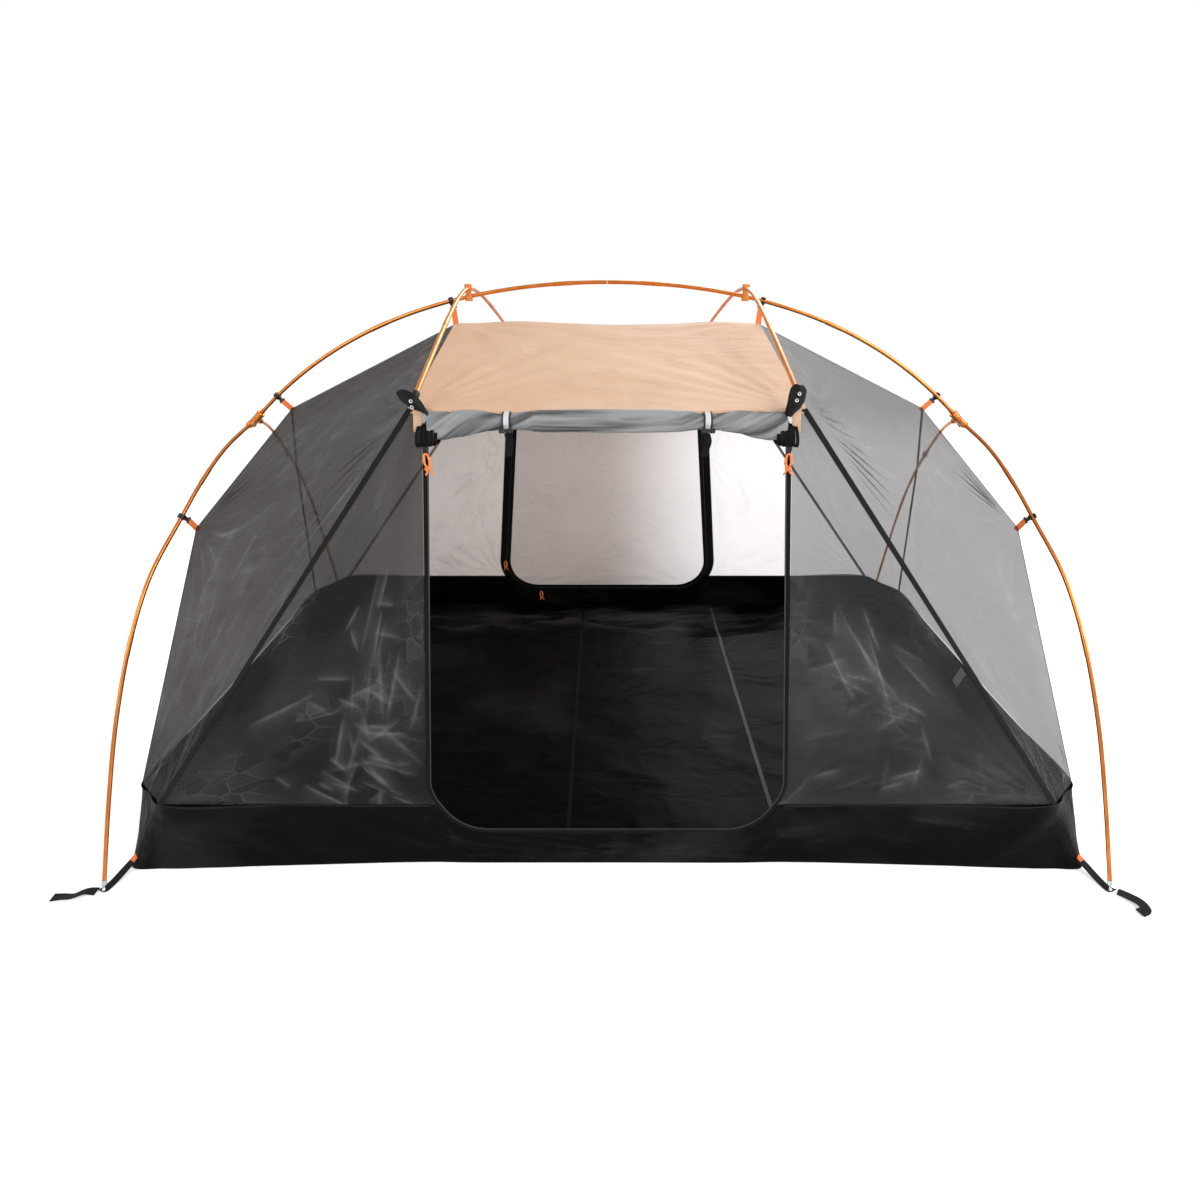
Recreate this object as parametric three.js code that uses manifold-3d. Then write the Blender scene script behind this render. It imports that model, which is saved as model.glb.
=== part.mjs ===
// Two-person dome tent, pitched without its fly. A bent ridge pole stands on two hubs with four legs, two cross
// poles hold out the eaves, and clips hang the sewn body from the poles: bathtub floor, mesh walls, roof, two doors.
// Millimetres, +Z up. X runs along the tent, the front door faces -Y, the origin is the middle of the floor's base.
import * as THREE from "three";
import { mergeVertices } from "three/addons/utils/BufferGeometryUtils.js";
import Module from "manifold-3d";

const wasm = await Module();
wasm.setup();

// Floor and bathtub walls
const FLOOR_HALF_LENGTH = 1065;
const FLOOR_HALF_WIDTH = 660;
const FLOOR_DRAWN_IN = 20; // how far the long edges are pulled in at the middle
const TUB_HEIGHT = 140;
const TUB_SHEET = 2;
const STRAP_WIDTH = 20;
const STRAP_THICK = 1.4;

// Corner points of the sewn body, for the quarter with X and Y positive
const ROOF_CLIP = new THREE.Vector3(359, 0, 1072);
const ROOF_CORNER = new THREE.Vector3(308, 597, 988);
const EAVE = new THREE.Vector3(322, 597, 985);
const HUB_CLIP = new THREE.Vector3(791, 0, 875);
const LEG_CLIP = new THREE.Vector3(938, 275, 660);
const TUB_SIDE = new THREE.Vector3(980, 605, TUB_HEIGHT);
const TUB_END = new THREE.Vector3(1080, 514, 120);
const FABRIC = 1.5;
const SEAM_GAP = 2.5;

// Doors: straight sides that spread downwards, a straight bottom low on the bathtub wall, and round corners
const DOOR_TOP_HALF = 297;
const DOOR_SPREAD = 0.109; // half-width gained per millimetre of drop
const DOOR_BOTTOM = 80;
const DOOR_CORNER = 120;
const ZIP_HALF = 6;
const ZIP_THICK = 3;
const ZIP_GAP = 0.8;
const ZIP_TOP = 936;

// Poles
const POLE_RADIUS = 4.25;
const POLE_BORE = 3.5;
const POLE_SIDES = 8;
const RIDGE_TOP = 1162;
const RIDGE_BEND = [277.3, 152.9]; // drop at one metre from the middle, squared and fourth-power terms
const HUB = new THREE.Vector3(885, 0, 851);
const CROSS_AT = 323;
const CROSS_RISE = 17; // from the ridge pole's middle to the cross pole's
const CROSS_HALF = 606;
const CROSS_CROWN = 50;
const CROSS_SLOPE = 0.31;
const LEG_TIP = new THREE.Vector3(1074, 714, 4);
const TIP_BALL = 4;
const TIP_HEIGHT = 22;

// Small hardware
const CLEARANCE = 0.4;
const HOOK_INNER = 5.4;
const HOOK_OUTER = 8.5;
const HOOK_WIDTH = 10;
const SLIDER = { width: 10, height: 15, thick: 5 };
const PULL = { radius: 2.2, length: 38 };
const ROLL = { half: 294, y: 597, z: 962, ry: 20, rz: 18 };
const TIE_AT = 164;
const TIE_WIDTH = 14;
const LOOP = { length: 70, start: 14, thick: 2.2 };
const LOOP_WAY = new THREE.Vector3(0.968, 0.251, 0);

const X = new THREE.Vector3(1, 0, 0);
const Z = new THREE.Vector3(0, 0, 1);

const FINISH = {
  pole: { color: 0xe0681c, roughness: 0.28, metalness: 0.9 },
  hub: { color: 0xd9601a, roughness: 0.35, metalness: 0.85 },
  tip: { color: 0xc9cacc, roughness: 0.3, metalness: 1 },
  clip: { color: 0x161616, roughness: 0.5, metalness: 0 },
  tub: { color: 0x141312, roughness: 0.45, metalness: 0 },
  mesh: { color: 0x6e6f70, roughness: 0.9, metalness: 0 },
  roof: { color: 0xe3c4a4, roughness: 0.75, metalness: 0 },
  tape: { color: 0x18181a, roughness: 0.85, metalness: 0 },
  slider: { color: 0x2a2a2c, roughness: 0.4, metalness: 0.8 },
  pull: { color: 0xf0661e, roughness: 0.8, metalness: 0 },
};

const tent = new THREE.Group();

function place(parent, name, geometry, finish) {
  const mesh = new THREE.Mesh(geometry, new THREE.MeshStandardMaterial(FINISH[finish]));
  mesh.name = name;
  parent.add(mesh);
}

// A group that mirrors what it holds into the quarter or half that the signs name.
function mirrored(signX, signY) {
  const group = new THREE.Group();
  group.scale.set(signX, signY, 1);
  tent.add(group);
  return group;
}

// The same mirroring as a column-major matrix for a solid.
function mirrorMatrix(signX, signY) {
  return [signX, 0, 0, 0, 0, signY, 0, 0, 0, 0, 1, 0, 0, 0, 0, 1];
}

// Booleans: a closed geometry becomes a solid, and a solid becomes a geometry again.
function solid(geometry) {
  const bare = new THREE.BufferGeometry().setAttribute("position", geometry.getAttribute("position"));
  if (geometry.index) bare.setIndex(geometry.index);
  const merged = mergeVertices(bare, 1e-3);
  const triVerts = new Uint32Array(merged.index.array);
  const vertProperties = new Float32Array(merged.attributes.position.array);
  return new wasm.Manifold(new wasm.Mesh({ numProp: 3, vertProperties, triVerts }));
}

function geometryOf(made) {
  const mesh = made.getMesh();
  const indexed = new THREE.BufferGeometry();
  indexed.setAttribute("position", new THREE.BufferAttribute(new Float32Array(mesh.vertProperties), 3));
  indexed.setIndex(new THREE.BufferAttribute(new Uint32Array(mesh.triVerts), 1));
  const flat = indexed.toNonIndexed();
  flat.computeVertexNormals();
  return flat;
}

function extruded(shape, depth, curveSegments) {
  return new THREE.ExtrudeGeometry(shape, { depth, curveSegments, bevelEnabled: false });
}

// Turns a geometry so that its own x, y and z lie along the three directions, and moves it to the origin given.
function oriented(geometry, origin, xAxis, yAxis, zAxis) {
  const frame = new THREE.Matrix4().makeBasis(xAxis, yAxis, zAxis);
  frame.setPosition(origin);
  return geometry.applyMatrix4(frame);
}

function turnedToward(geometry, origin, direction) {
  const turn = new THREE.Quaternion().setFromUnitVectors(Z, direction.clone().normalize());
  return geometry.applyQuaternion(turn).translate(origin.x, origin.y, origin.z);
}

// ---- Sheets: a box whose vertices are laid on a surface, half its thickness to each side ----

// A box splits the squares of its back along the other diagonal than its front. On a twisted sheet the two sides
// would pass through each other, so the back is split again to match.
function matchDiagonals(box) {
  const index = box.index.array;
  const back = box.groups[5];
  for (let i = back.start; i < back.start + back.count; i += 6) {
    const [a, b, d, , c] = index.subarray(i, i + 5);
    index.set([a, b, c, a, c, d], i);
  }
}

function sheet(surface, across, down, thickness) {
  const box = new THREE.BoxGeometry(1, 1, 1, across, down, 1);
  matchDiagonals(box);
  const position = box.attributes.position;
  const step = 1e-3;
  for (let i = 0; i < position.count; i++) {
    const u = position.getX(i) + 0.5;
    const v = position.getY(i) + 0.5;
    const here = surface(u, v);
    const alongU = surface(u + step, v).sub(surface(u - step, v));
    const alongV = surface(u, v + step).sub(surface(u, v - step));
    const normal = alongU.cross(alongV).normalize();
    here.addScaledVector(normal, position.getZ(i) * thickness);
    position.setXYZ(i, here.x, here.y, here.z);
  }
  box.computeVertexNormals();
  return box;
}

function polyline(...corners) {
  const path = new THREE.CurvePath();
  for (let i = 1; i < corners.length; i++) path.add(new THREE.LineCurve3(corners[i - 1], corners[i]));
  return (t) => path.getPoint(THREE.MathUtils.clamp(t, 0, 1));
}

// The sheet ruled between two edges, kept clear of its neighbours by a margin on every side.
function ruled(edgeA, edgeB, margin) {
  return (u, v) => {
    const down = margin + v * (1 - 2 * margin);
    return edgeA(down).lerp(edgeB(down), margin + u * (1 - 2 * margin));
  };
}

// ---- Door outline and the long wall that it is cut in ----

const WALL_LEAN = (TUB_SIDE.y - EAVE.y) / (EAVE.z - TUB_HEIGHT);
const TUB_LEAN = (FLOOR_HALF_WIDTH - FLOOR_DRAWN_IN - TUB_SIDE.y) / TUB_HEIGHT;

function wallY(z) {
  return TUB_SIDE.y + (z > TUB_HEIGHT ? -WALL_LEAN * (z - TUB_HEIGHT) : TUB_LEAN * (TUB_HEIGHT - z));
}

function doorSide(z) {
  return DOOR_TOP_HALF + DOOR_SPREAD * (EAVE.z - z);
}

const CORNER_Z = DOOR_BOTTOM + DOOR_CORNER;
const CORNER_X = doorSide(CORNER_Z) - DOOR_CORNER;

function doorEdge(z, offset) {
  if (z >= CORNER_Z) return doorSide(z) + offset;
  const reach = (DOOR_CORNER + offset) ** 2 - (CORNER_Z - z) ** 2;
  return CORNER_X + Math.sqrt(Math.max(0, reach));
}

// The door's outline moved outwards by an offset, from its top left corner down, across and up again.
function doorOutline(offset, top) {
  const right = [];
  const turns = 9;
  for (let i = 0; i <= turns; i++) {
    const angle = (i / turns) * (Math.PI / 2);
    const reach = DOOR_CORNER + offset;
    right.push(new THREE.Vector2(CORNER_X + reach * Math.sin(angle), CORNER_Z - reach * Math.cos(angle)));
  }
  right.push(new THREE.Vector2(doorSide(top) + offset, top));
  const left = right.map((p) => new THREE.Vector2(-p.x, p.y)).reverse();
  return [...left, ...right];
}

// A shape drawn in X and Z, given its thickness along Y and laid on the wall.
function onWall(shape, thickness) {
  const flat = extruded(shape, thickness, 1);
  const position = flat.attributes.position;
  for (let i = 0; i < position.count; i++) {
    const z = position.getY(i);
    position.setXYZ(i, position.getX(i), wallY(z) + thickness / 2 - position.getZ(i), z);
  }
  flat.computeVertexNormals();
  return flat;
}

// ---- Bathtub floor: floor sheet and low walls in one, notched for both doors, with its corner straps ----

// Stations round one quarter, from the middle of the long side to the middle of the short one.
function tubStations() {
  const pulledIn = FLOOR_HALF_WIDTH - FLOOR_DRAWN_IN;
  const foot = [
    [0, pulledIn],
    [420, pulledIn],
    [720, pulledIn + 9],
    [980, FLOOR_HALF_WIDTH - 2],
    [FLOOR_HALF_LENGTH - 12, FLOOR_HALF_WIDTH - 6],
    [FLOOR_HALF_LENGTH, 600],
    [FLOOR_HALF_LENGTH - 4, 300],
    [FLOOR_HALF_LENGTH - 6, 0],
  ];
  const rim = [
    [0, TUB_SIDE.y, TUB_HEIGHT],
    [420, TUB_SIDE.y, TUB_HEIGHT],
    [700, TUB_SIDE.y, TUB_HEIGHT],
    [TUB_SIDE.x, TUB_SIDE.y, TUB_HEIGHT],
    [(TUB_SIDE.x + TUB_END.x) / 2, (TUB_SIDE.y + TUB_END.y) / 2, (TUB_SIDE.z + TUB_END.z) / 2],
    [TUB_END.x, TUB_END.y, TUB_END.z],
    [TUB_END.x - 6, 280, TUB_END.z],
    [TUB_END.x - 8, 0, TUB_END.z],
  ];
  const quarter = foot.map((f, i) => ({
    foot: new THREE.Vector3(f[0], f[1], 0),
    rim: new THREE.Vector3(...rim[i]),
  }));
  const flip = (sx, sy) => (s) => ({
    foot: s.foot.clone().multiply(new THREE.Vector3(sx, sy, 1)),
    rim: s.rim.clone().multiply(new THREE.Vector3(sx, sy, 1)),
  });
  const inner = quarter.slice(1, -1);
  return [
    ...quarter,
    ...inner.map(flip(1, -1)).reverse(),
    ...quarter.map(flip(-1, -1)),
    ...inner.map(flip(-1, 1)).reverse(),
  ];
}

// The turned profile runs from the middle of the base, up the outside, down the inside and back to the middle.
function tubShell() {
  const stations = tubStations().reverse();
  const profile = [[0, 0], [1, 0], [1, 1], [0.9, 1], [0.9, 0.1], [0, 0.1]];
  const turned = new THREE.LatheGeometry(
    profile.map((p) => new THREE.Vector2(p[0], p[1])),
    stations.length,
  );
  const levels = profile.length - 1;
  const innerWall = 3;
  const index = turned.index.array;
  for (let i = innerWall; i < stations.length * levels; i += levels) {
    // split along the outer wall's diagonals, so that the two never cross
    const [a, b, d, c] = index.subarray(6 * i, 6 * i + 4);
    index.set([a, b, c, a, c, d], 6 * i);
  }
  const position = turned.attributes.position;
  for (let i = 0; i < position.count; i++) {
    const station = stations[Math.floor(i / profile.length) % stations.length];
    const level = i % profile.length;
    const outer = level === 1 || level === 2;
    const at = level === 2 || level === 3 ? station.rim : station.foot;
    const onAxis = level === 0 || level === 5;
    const outward = new THREE.Vector2(at.x, at.y).normalize().multiplyScalar(outer ? 1 : -1);
    const z = level === 4 || level === 5 ? TUB_SHEET : at.z;
    position.setXYZ(i, onAxis ? 0 : at.x + outward.x, onAxis ? 0 : at.y + outward.y, z);
  }
  return solid(turned);
}

// Flat webbing from the floor corner out to the pole tip, with the eyelet that the tip stands in.
function cornerStrap() {
  const start = new THREE.Vector2(FLOOR_HALF_LENGTH - 24, FLOOR_HALF_WIDTH - 30);
  const tip = new THREE.Vector2(LEG_TIP.x, LEG_TIP.y);
  const along = tip.clone().sub(start);
  const length = along.length();
  const half = STRAP_WIDTH / 2;
  const outline = new THREE.Shape();
  outline.moveTo(0, -half);
  outline.lineTo(length, -half);
  outline.absarc(length, 0, half, -Math.PI / 2, Math.PI / 2, false);
  outline.lineTo(0, half);
  const eyelet = new THREE.Path();
  eyelet.absarc(length, 0, TIP_BALL + 1.4, 0, Math.PI * 2, true);
  outline.holes.push(eyelet);
  const strap = extruded(outline, STRAP_THICK, 8);
  strap.rotateZ(along.angle()).translate(start.x, start.y, 0.3);
  return solid(strap);
}

function bathtubFloor() {
  const cutter = extruded(new THREE.Shape(doorOutline(ZIP_HALF + ZIP_GAP, 400)), 4 * FLOOR_HALF_WIDTH, 1);
  cutter.rotateX(Math.PI / 2).translate(0, 2 * FLOOR_HALF_WIDTH, 0);
  let tub = tubShell().subtract(solid(cutter));
  const strap = cornerStrap();
  for (const signX of [1, -1]) {
    for (const signY of [1, -1]) tub = tub.add(strap.transform(mirrorMatrix(signX, signY)));
  }
  return geometryOf(tub);
}

place(tent, "bathtub_floor", bathtubFloor(), "tub");

// ---- Roof and mesh walls ----

function roofSurface(u, v) {
  const out = Math.abs(2 * v - 1);
  const half = THREE.MathUtils.lerp(ROOF_CLIP.x, ROOF_CORNER.x, out) - SEAM_GAP;
  const side = 2 * u - 1;
  const droop = 6 * out * (1 - side * side);
  const z = ROOF_CLIP.z - (ROOF_CLIP.z - ROOF_CORNER.z) * out ** 1.15 - droop;
  return new THREE.Vector3(side * half, (2 * v - 1) * (ROOF_CORNER.y - 1), z);
}

// The flat mesh between a door's zip and the seam that runs from the eave down to the bathtub wall.
function wallMeshShape() {
  const low = TUB_HEIGHT + SEAM_GAP;
  const top = EAVE.z - SEAM_GAP;
  const offset = ZIP_HALF + ZIP_GAP;
  const start = new THREE.Vector2(doorEdge(low, offset + 1), low);
  const edge = doorOutline(offset, top).filter((p) => p.x > 0 && p.y > low);
  const seamTop = new THREE.Vector2(EAVE.x - SEAM_GAP, top);
  const seamFoot = new THREE.Vector2(TUB_SIDE.x - SEAM_GAP, low);
  return new THREE.Shape([start, ...edge, seamTop, seamFoot]);
}

const shoulderSurface = ruled(
  polyline(ROOF_CLIP, EAVE, TUB_SIDE),
  polyline(HUB_CLIP, LEG_CLIP, TUB_END),
  0.005,
);

function endEdge(signY) {
  const flip = new THREE.Vector3(1, signY, 1);
  const top = HUB_CLIP.clone().lerp(LEG_CLIP, 0.05);
  return polyline(...[top, LEG_CLIP, TUB_END].map((p) => p.clone().multiply(flip)));
}

place(tent, "roof_panel", sheet(roofSurface, 8, 12, FABRIC), "roof");

const sides = { front: -1, rear: 1 };
const ends = { left: -1, right: 1 };
const wallMesh = onWall(wallMeshShape(), FABRIC);
const shoulderMesh = sheet(shoulderSurface, 5, 11, FABRIC);
const endMesh = sheet(ruled(endEdge(-1), endEdge(1), 0.008), 2, 8, FABRIC);

for (const [end, signX] of Object.entries(ends)) {
  place(mirrored(signX, 1), `end_mesh_${end}`, endMesh, "mesh");
  for (const [side, signY] of Object.entries(sides)) {
    const corner = mirrored(signX, signY);
    place(corner, `${side}_mesh_${end}`, wallMesh, "mesh");
    place(corner, `shoulder_mesh_${side}_${end}`, shoulderMesh, "mesh");
  }
}

// ---- Doors, zip tracks and zip sliders ----

function rearDoorSurface(u, v) {
  const low = DOOR_BOTTOM + ZIP_HALF + ZIP_GAP;
  const z = low + (EAVE.z - SEAM_GAP - low) * v ** 1.6;
  const x = (1 - 2 * u) * doorEdge(z, -ZIP_HALF - ZIP_GAP);
  return new THREE.Vector3(x, wallY(z), z);
}

function doorPanel() {
  return sheet((u, v) => rearDoorSurface(u, THREE.MathUtils.clamp(v, 0, 1)), 6, 12, FABRIC);
}

function zipTrack() {
  const outer = doorOutline(ZIP_HALF, ZIP_TOP);
  const inner = doorOutline(-ZIP_HALF, ZIP_TOP).reverse();
  return onWall(new THREE.Shape([...outer, ...inner]), ZIP_THICK);
}

function sliderBody() {
  const { width, height, thick } = SLIDER;
  const outline = new THREE.Shape();
  outline.moveTo(-width / 2 + 1.5, -height / 2);
  outline.lineTo(width / 2 - 1.5, -height / 2);
  outline.quadraticCurveTo(width / 2, 0, width / 2, height / 2 - 2);
  outline.lineTo(width / 2 - 2, height / 2);
  outline.lineTo(-width / 2 + 2, height / 2);
  outline.lineTo(-width / 2, height / 2 - 2);
  outline.quadraticCurveTo(-width / 2, 0, -width / 2 + 1.5, -height / 2);
  const body = extruded(outline, thick, 4);
  return body.translate(0, 0, -thick / 2);
}

// The cord hangs from the middle of its round top, so it turns there without reaching its slider.
function pullCord() {
  const straight = PULL.length - 2 * PULL.radius;
  const cord = new THREE.CapsuleGeometry(PULL.radius, straight, 3, 10);
  return cord.rotateX(Math.PI / 2).translate(0, 0, -straight / 2);
}

place(tent, "rear_door", doorPanel(), "mesh");
for (const [side, signY] of Object.entries(sides)) {
  place(mirrored(1, signY), `${side}_zip_track`, zipTrack(), "tape");
}

const OFF_ZIP = ZIP_THICK / 2 + ZIP_GAP + SLIDER.thick / 2;
const downRun = new THREE.Vector3(DOOR_SPREAD, WALL_LEAN, -1).normalize();
const wallOut = new THREE.Vector3(0, 1, WALL_LEAN).normalize();
const tubOut = new THREE.Vector3(0, 1, TUB_LEAN).normalize();

// A slider lies flat on the zip with its nose pointing along the run, and its pull hangs below it.
function slider(parent, name, at, nose, out) {
  const across = nose.clone().cross(out).normalize();
  const square = out.clone().addScaledVector(nose, -out.dot(nose)).normalize();
  place(parent, `zip_slider_${name}`, oriented(sliderBody(), at, across, nose, square), "slider");
}

function pull(parent, name, hinge) {
  const cord = pullCord().translate(hinge.x, hinge.y, hinge.z);
  place(parent, `zip_pull_${name}`, cord, "pull");
}

const FRONT_SLIDER_Z = 924;
const REAR_SLIDER_Z = 214;
const REAR_LOW_X = -255;
const PULL_OFF = PULL.radius + 0.8; // from the slider's edge to the cord's hinge
const PULL_DROP = SLIDER.height / 2 + PULL_OFF;

const frontAt = new THREE.Vector3(doorSide(FRONT_SLIDER_Z), wallY(FRONT_SLIDER_Z) + OFF_ZIP, FRONT_SLIDER_Z);
for (const [end, signX] of Object.entries(ends)) {
  const corner = mirrored(signX, -1);
  slider(corner, `front_${end}`, frontAt, downRun.clone().negate(), wallOut);
  pull(corner, `front_${end}`, frontAt.clone().addScaledVector(downRun, PULL_DROP));
}

const rearAt = new THREE.Vector3(doorSide(REAR_SLIDER_Z), wallY(REAR_SLIDER_Z) - OFF_ZIP, REAR_SLIDER_Z);
const rearLeft = mirrored(-1, 1);
slider(rearLeft, "rear_side", rearAt, downRun.clone().negate(), wallOut);
pull(rearLeft, "rear_side", rearAt.clone().addScaledVector(downRun, PULL_DROP));

const lowAt = new THREE.Vector3(REAR_LOW_X, wallY(DOOR_BOTTOM), DOOR_BOTTOM).addScaledVector(tubOut, -OFF_ZIP);
slider(tent, "rear_bottom", lowAt, X, tubOut);
pull(tent, "rear_bottom", lowAt.clone().add(new THREE.Vector3(0, -2, -SLIDER.width / 2 - PULL_OFF)));

// ---- The front door, rolled under the eave, with its two ties and their toggles ----

function rolledDoor() {
  const roll = new THREE.CylinderGeometry(1, 1, 2 * ROLL.half, 18, 4);
  return roll.rotateZ(Math.PI / 2).scale(1, ROLL.ry, ROLL.rz).translate(0, ROLL.y, ROLL.z);
}

function rollTie() {
  const ring = new THREE.Shape();
  ring.absellipse(0, 0, ROLL.ry + 2.4, ROLL.rz + 2.4, 0, Math.PI * 2, false, 0);
  const inside = new THREE.Path();
  inside.absellipse(0, 0, ROLL.ry + 0.7, ROLL.rz + 0.7, 0, Math.PI * 2, true, 0);
  ring.holes.push(inside);
  const band = extruded(ring, TIE_WIDTH, 10);
  oriented(band, new THREE.Vector3(TIE_AT - TIE_WIDTH / 2, ROLL.y, ROLL.z), new THREE.Vector3(0, 1, 0), Z, X);
  const tail = new THREE.BoxGeometry(TIE_WIDTH, 1.8, 34);
  tail.translate(TIE_AT, ROLL.y + 5, ROLL.z - ROLL.rz - 1.6 - 17);
  return geometryOf(solid(band).add(solid(tail)));
}

function toggle() {
  const barrel = new THREE.CylinderGeometry(4, 4, 22, 12);
  return barrel.rotateZ(Math.PI / 2).translate(TIE_AT, ROLL.y + ROLL.ry + 2.4 + 0.8 + 4, ROLL.z - 6);
}

place(mirrored(1, -1), "front_door_roll", rolledDoor(), "mesh");
for (const [end, signX] of Object.entries(ends)) {
  const half = mirrored(signX, -1);
  place(half, `roll_tie_${end}`, rollTie(), "tape");
  place(half, `roll_toggle_${end}`, toggle(), "clip");
}

// ---- Poles ----

class RidgeLine extends THREE.Curve {
  constructor(from, to) {
    super();
    this.from = from;
    this.to = to;
  }

  getPoint(t) {
    const x = THREE.MathUtils.lerp(this.from, this.to, t);
    return new THREE.Vector3(x, 0, ridgeZ(x));
  }
}

class CrossLine extends THREE.Curve {
  getPoint(t) {
    const y = CROSS_HALF * (2 * t - 1);
    const x = CROSS_AT - 0.02 * Math.abs(y);
    const drop = Math.hypot(CROSS_CROWN, CROSS_SLOPE * y) - CROSS_CROWN;
    return new THREE.Vector3(x, y, ridgeZ(CROSS_AT) + CROSS_RISE - drop);
  }
}

function ridgeZ(x) {
  const metres = x / 1000;
  return RIDGE_TOP - RIDGE_BEND[0] * metres ** 2 - RIDGE_BEND[1] * metres ** 4;
}

// A leg leaves its hub nearly level and bends down to the corner, all in one upright plane.
const legLine = new THREE.CatmullRomCurve3([
  HUB,
  new THREE.Vector3(916, 118, 804),
  new THREE.Vector3(941, 212, 744),
  new THREE.Vector3(961, 290, 683),
  new THREE.Vector3(990, 395, 594),
  new THREE.Vector3(1012, 482, 485),
  new THREE.Vector3(1035, 566, 339),
  new THREE.Vector3(1054, 638, 185),
  LEG_TIP,
]);

function ringShape(radius, sides) {
  const ring = [];
  for (let i = 0; i < sides; i++) {
    const angle = (2 * Math.PI * (i + 0.5)) / sides;
    ring.push(new THREE.Vector2(radius * Math.cos(angle), radius * Math.sin(angle)));
  }
  return ring;
}

// A pole between two arc fractions of its line; a bore of 0 makes it a solid rod.
function pole(line, from, to, steps, radius, bore) {
  const points = [];
  for (let i = 0; i <= steps; i++) points.push(line.getPointAt(THREE.MathUtils.lerp(from, to, i / steps)));
  const section = new THREE.Shape(ringShape(radius, POLE_SIDES));
  if (bore) section.holes.push(new THREE.Path(ringShape(bore, POLE_SIDES).reverse()));
  const extrudePath = new THREE.CatmullRomCurve3(points);
  return new THREE.ExtrudeGeometry(section, { extrudePath, steps, bevelEnabled: false });
}

const halfRidge = new RidgeLine(0, HUB.x);
const crossLine = new CrossLine();
const ridgeLength = halfRidge.getLength();
const legLength = legLine.getLength();
const crossLength = crossLine.getLength();
const SOCKET_START = 12; // from the hub's middle to the pole end inside its socket
const FERRULE = { plug: 20, spigot: 30, radius: 2.5 }; // joins the two halves of the ridge pole at the middle

function ridgeHalf(withFerrule) {
  const run = pole(halfRidge, 0.5 / ridgeLength, 1 - SOCKET_START / ridgeLength, 16, POLE_RADIUS, POLE_BORE);
  if (!withFerrule) return run;
  const plug = new THREE.CylinderGeometry(POLE_BORE + 0.2, POLE_BORE + 0.2, FERRULE.plug, 10);
  plug.rotateZ(Math.PI / 2).translate(FERRULE.plug / 2 + 2, 0, RIDGE_TOP);
  const spigot = new THREE.CylinderGeometry(FERRULE.radius, FERRULE.radius, FERRULE.spigot, 10);
  spigot.rotateZ(Math.PI / 2).translate(5 - FERRULE.spigot / 2, 0, RIDGE_TOP);
  return geometryOf(solid(run).add(solid(plug)).add(solid(spigot)));
}

// A rod a little fatter than the pole, which clears the way for it through a block.
function clearing(line, from, to, steps) {
  return solid(pole(line, from, to, steps, (POLE_RADIUS + CLEARANCE) / Math.cos(Math.PI / POLE_SIDES), 0));
}

function connector() {
  const middle = new THREE.Vector3(CROSS_AT, 0, ridgeZ(CROSS_AT) + CROSS_RISE / 2);
  const block = new THREE.CylinderGeometry(8.5, 8.5, CROSS_RISE + 19, 16);
  block.rotateX(Math.PI / 2).translate(middle.x, middle.y, middle.z);
  const near = CROSS_AT / HUB.x;
  const ridgeWay = clearing(halfRidge, near - 0.12, near + 0.06, 8);
  const crossWay = clearing(crossLine, 0.46, 0.54, 8);
  return geometryOf(solid(block).subtract(ridgeWay).subtract(crossWay));
}

// Barrel in line with the ridge pole, and a short socket for each leg.
function hub() {
  const ridgeWay = halfRidge.getTangentAt(1).negate();
  const legWay = legLine.getTangentAt(0.01);
  const barrel = turnedToward(new THREE.CylinderGeometry(10, 10, 40, 16).rotateX(Math.PI / 2), HUB, ridgeWay);
  let made = solid(barrel);
  for (const signY of [1, -1]) {
    const way = legWay.clone().multiply(new THREE.Vector3(1, signY, 1));
    const socket = new THREE.CylinderGeometry(7.5, 8.5, 34, 14).rotateX(Math.PI / 2).translate(0, 0, 17);
    made = made.add(solid(turnedToward(socket, HUB, way)));
  }
  made = made.subtract(clearing(halfRidge, 0.9, 1 - (SOCKET_START - 2) / ridgeLength, 6));
  const legRod = clearing(legLine, (SOCKET_START - 2) / legLength, 0.06, 6);
  return geometryOf(made.subtract(legRod).subtract(legRod.transform(mirrorMatrix(1, -1))));
}

function poleTip() {
  const profile = [
    [0, -TIP_BALL], [TIP_BALL * 0.6, -TIP_BALL * 0.8], [TIP_BALL, 0], [TIP_BALL * 0.7, TIP_BALL * 0.72],
    [2.2, 5], [2.2, 9], [4.6, 11], [4.6, TIP_HEIGHT - 0.6], [2.6, TIP_HEIGHT - 0.6], [2.6, TIP_HEIGHT + 12],
    [0, TIP_HEIGHT + 12],
  ].map((p) => new THREE.Vector2(p[0], p[1]));
  const turned = new THREE.LatheGeometry(profile, 12).rotateX(Math.PI / 2);
  return turnedToward(turned, LEG_TIP, legLine.getTangentAt(1).negate());
}

const legPole = pole(legLine, SOCKET_START / legLength, 1 - TIP_HEIGHT / legLength, 18, POLE_RADIUS, POLE_BORE);
const crossEnd = 2 / crossLength;
const crossPole = pole(crossLine, crossEnd, 1 - crossEnd, 22, POLE_RADIUS, POLE_BORE);

for (const [end, signX] of Object.entries(ends)) {
  const half = mirrored(signX, 1);
  place(half, `ridge_pole_${end}`, ridgeHalf(end === "right"), "pole");
  place(half, `hub_${end}`, hub(), "hub");
  place(half, `cross_pole_${end}`, crossPole, "pole");
  place(half, `swivel_connector_${end}`, connector(), "hub");
  for (const [side, signY] of Object.entries(sides)) {
    const corner = mirrored(signX, signY);
    place(corner, `leg_pole_${side}_${end}`, legPole, "pole");
    place(corner, `pole_tip_${side}_${end}`, poleTip(), "tip");
  }
}

// ---- Clips: a hook snapped on the pole and a webbing tab down to the fabric ----

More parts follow.
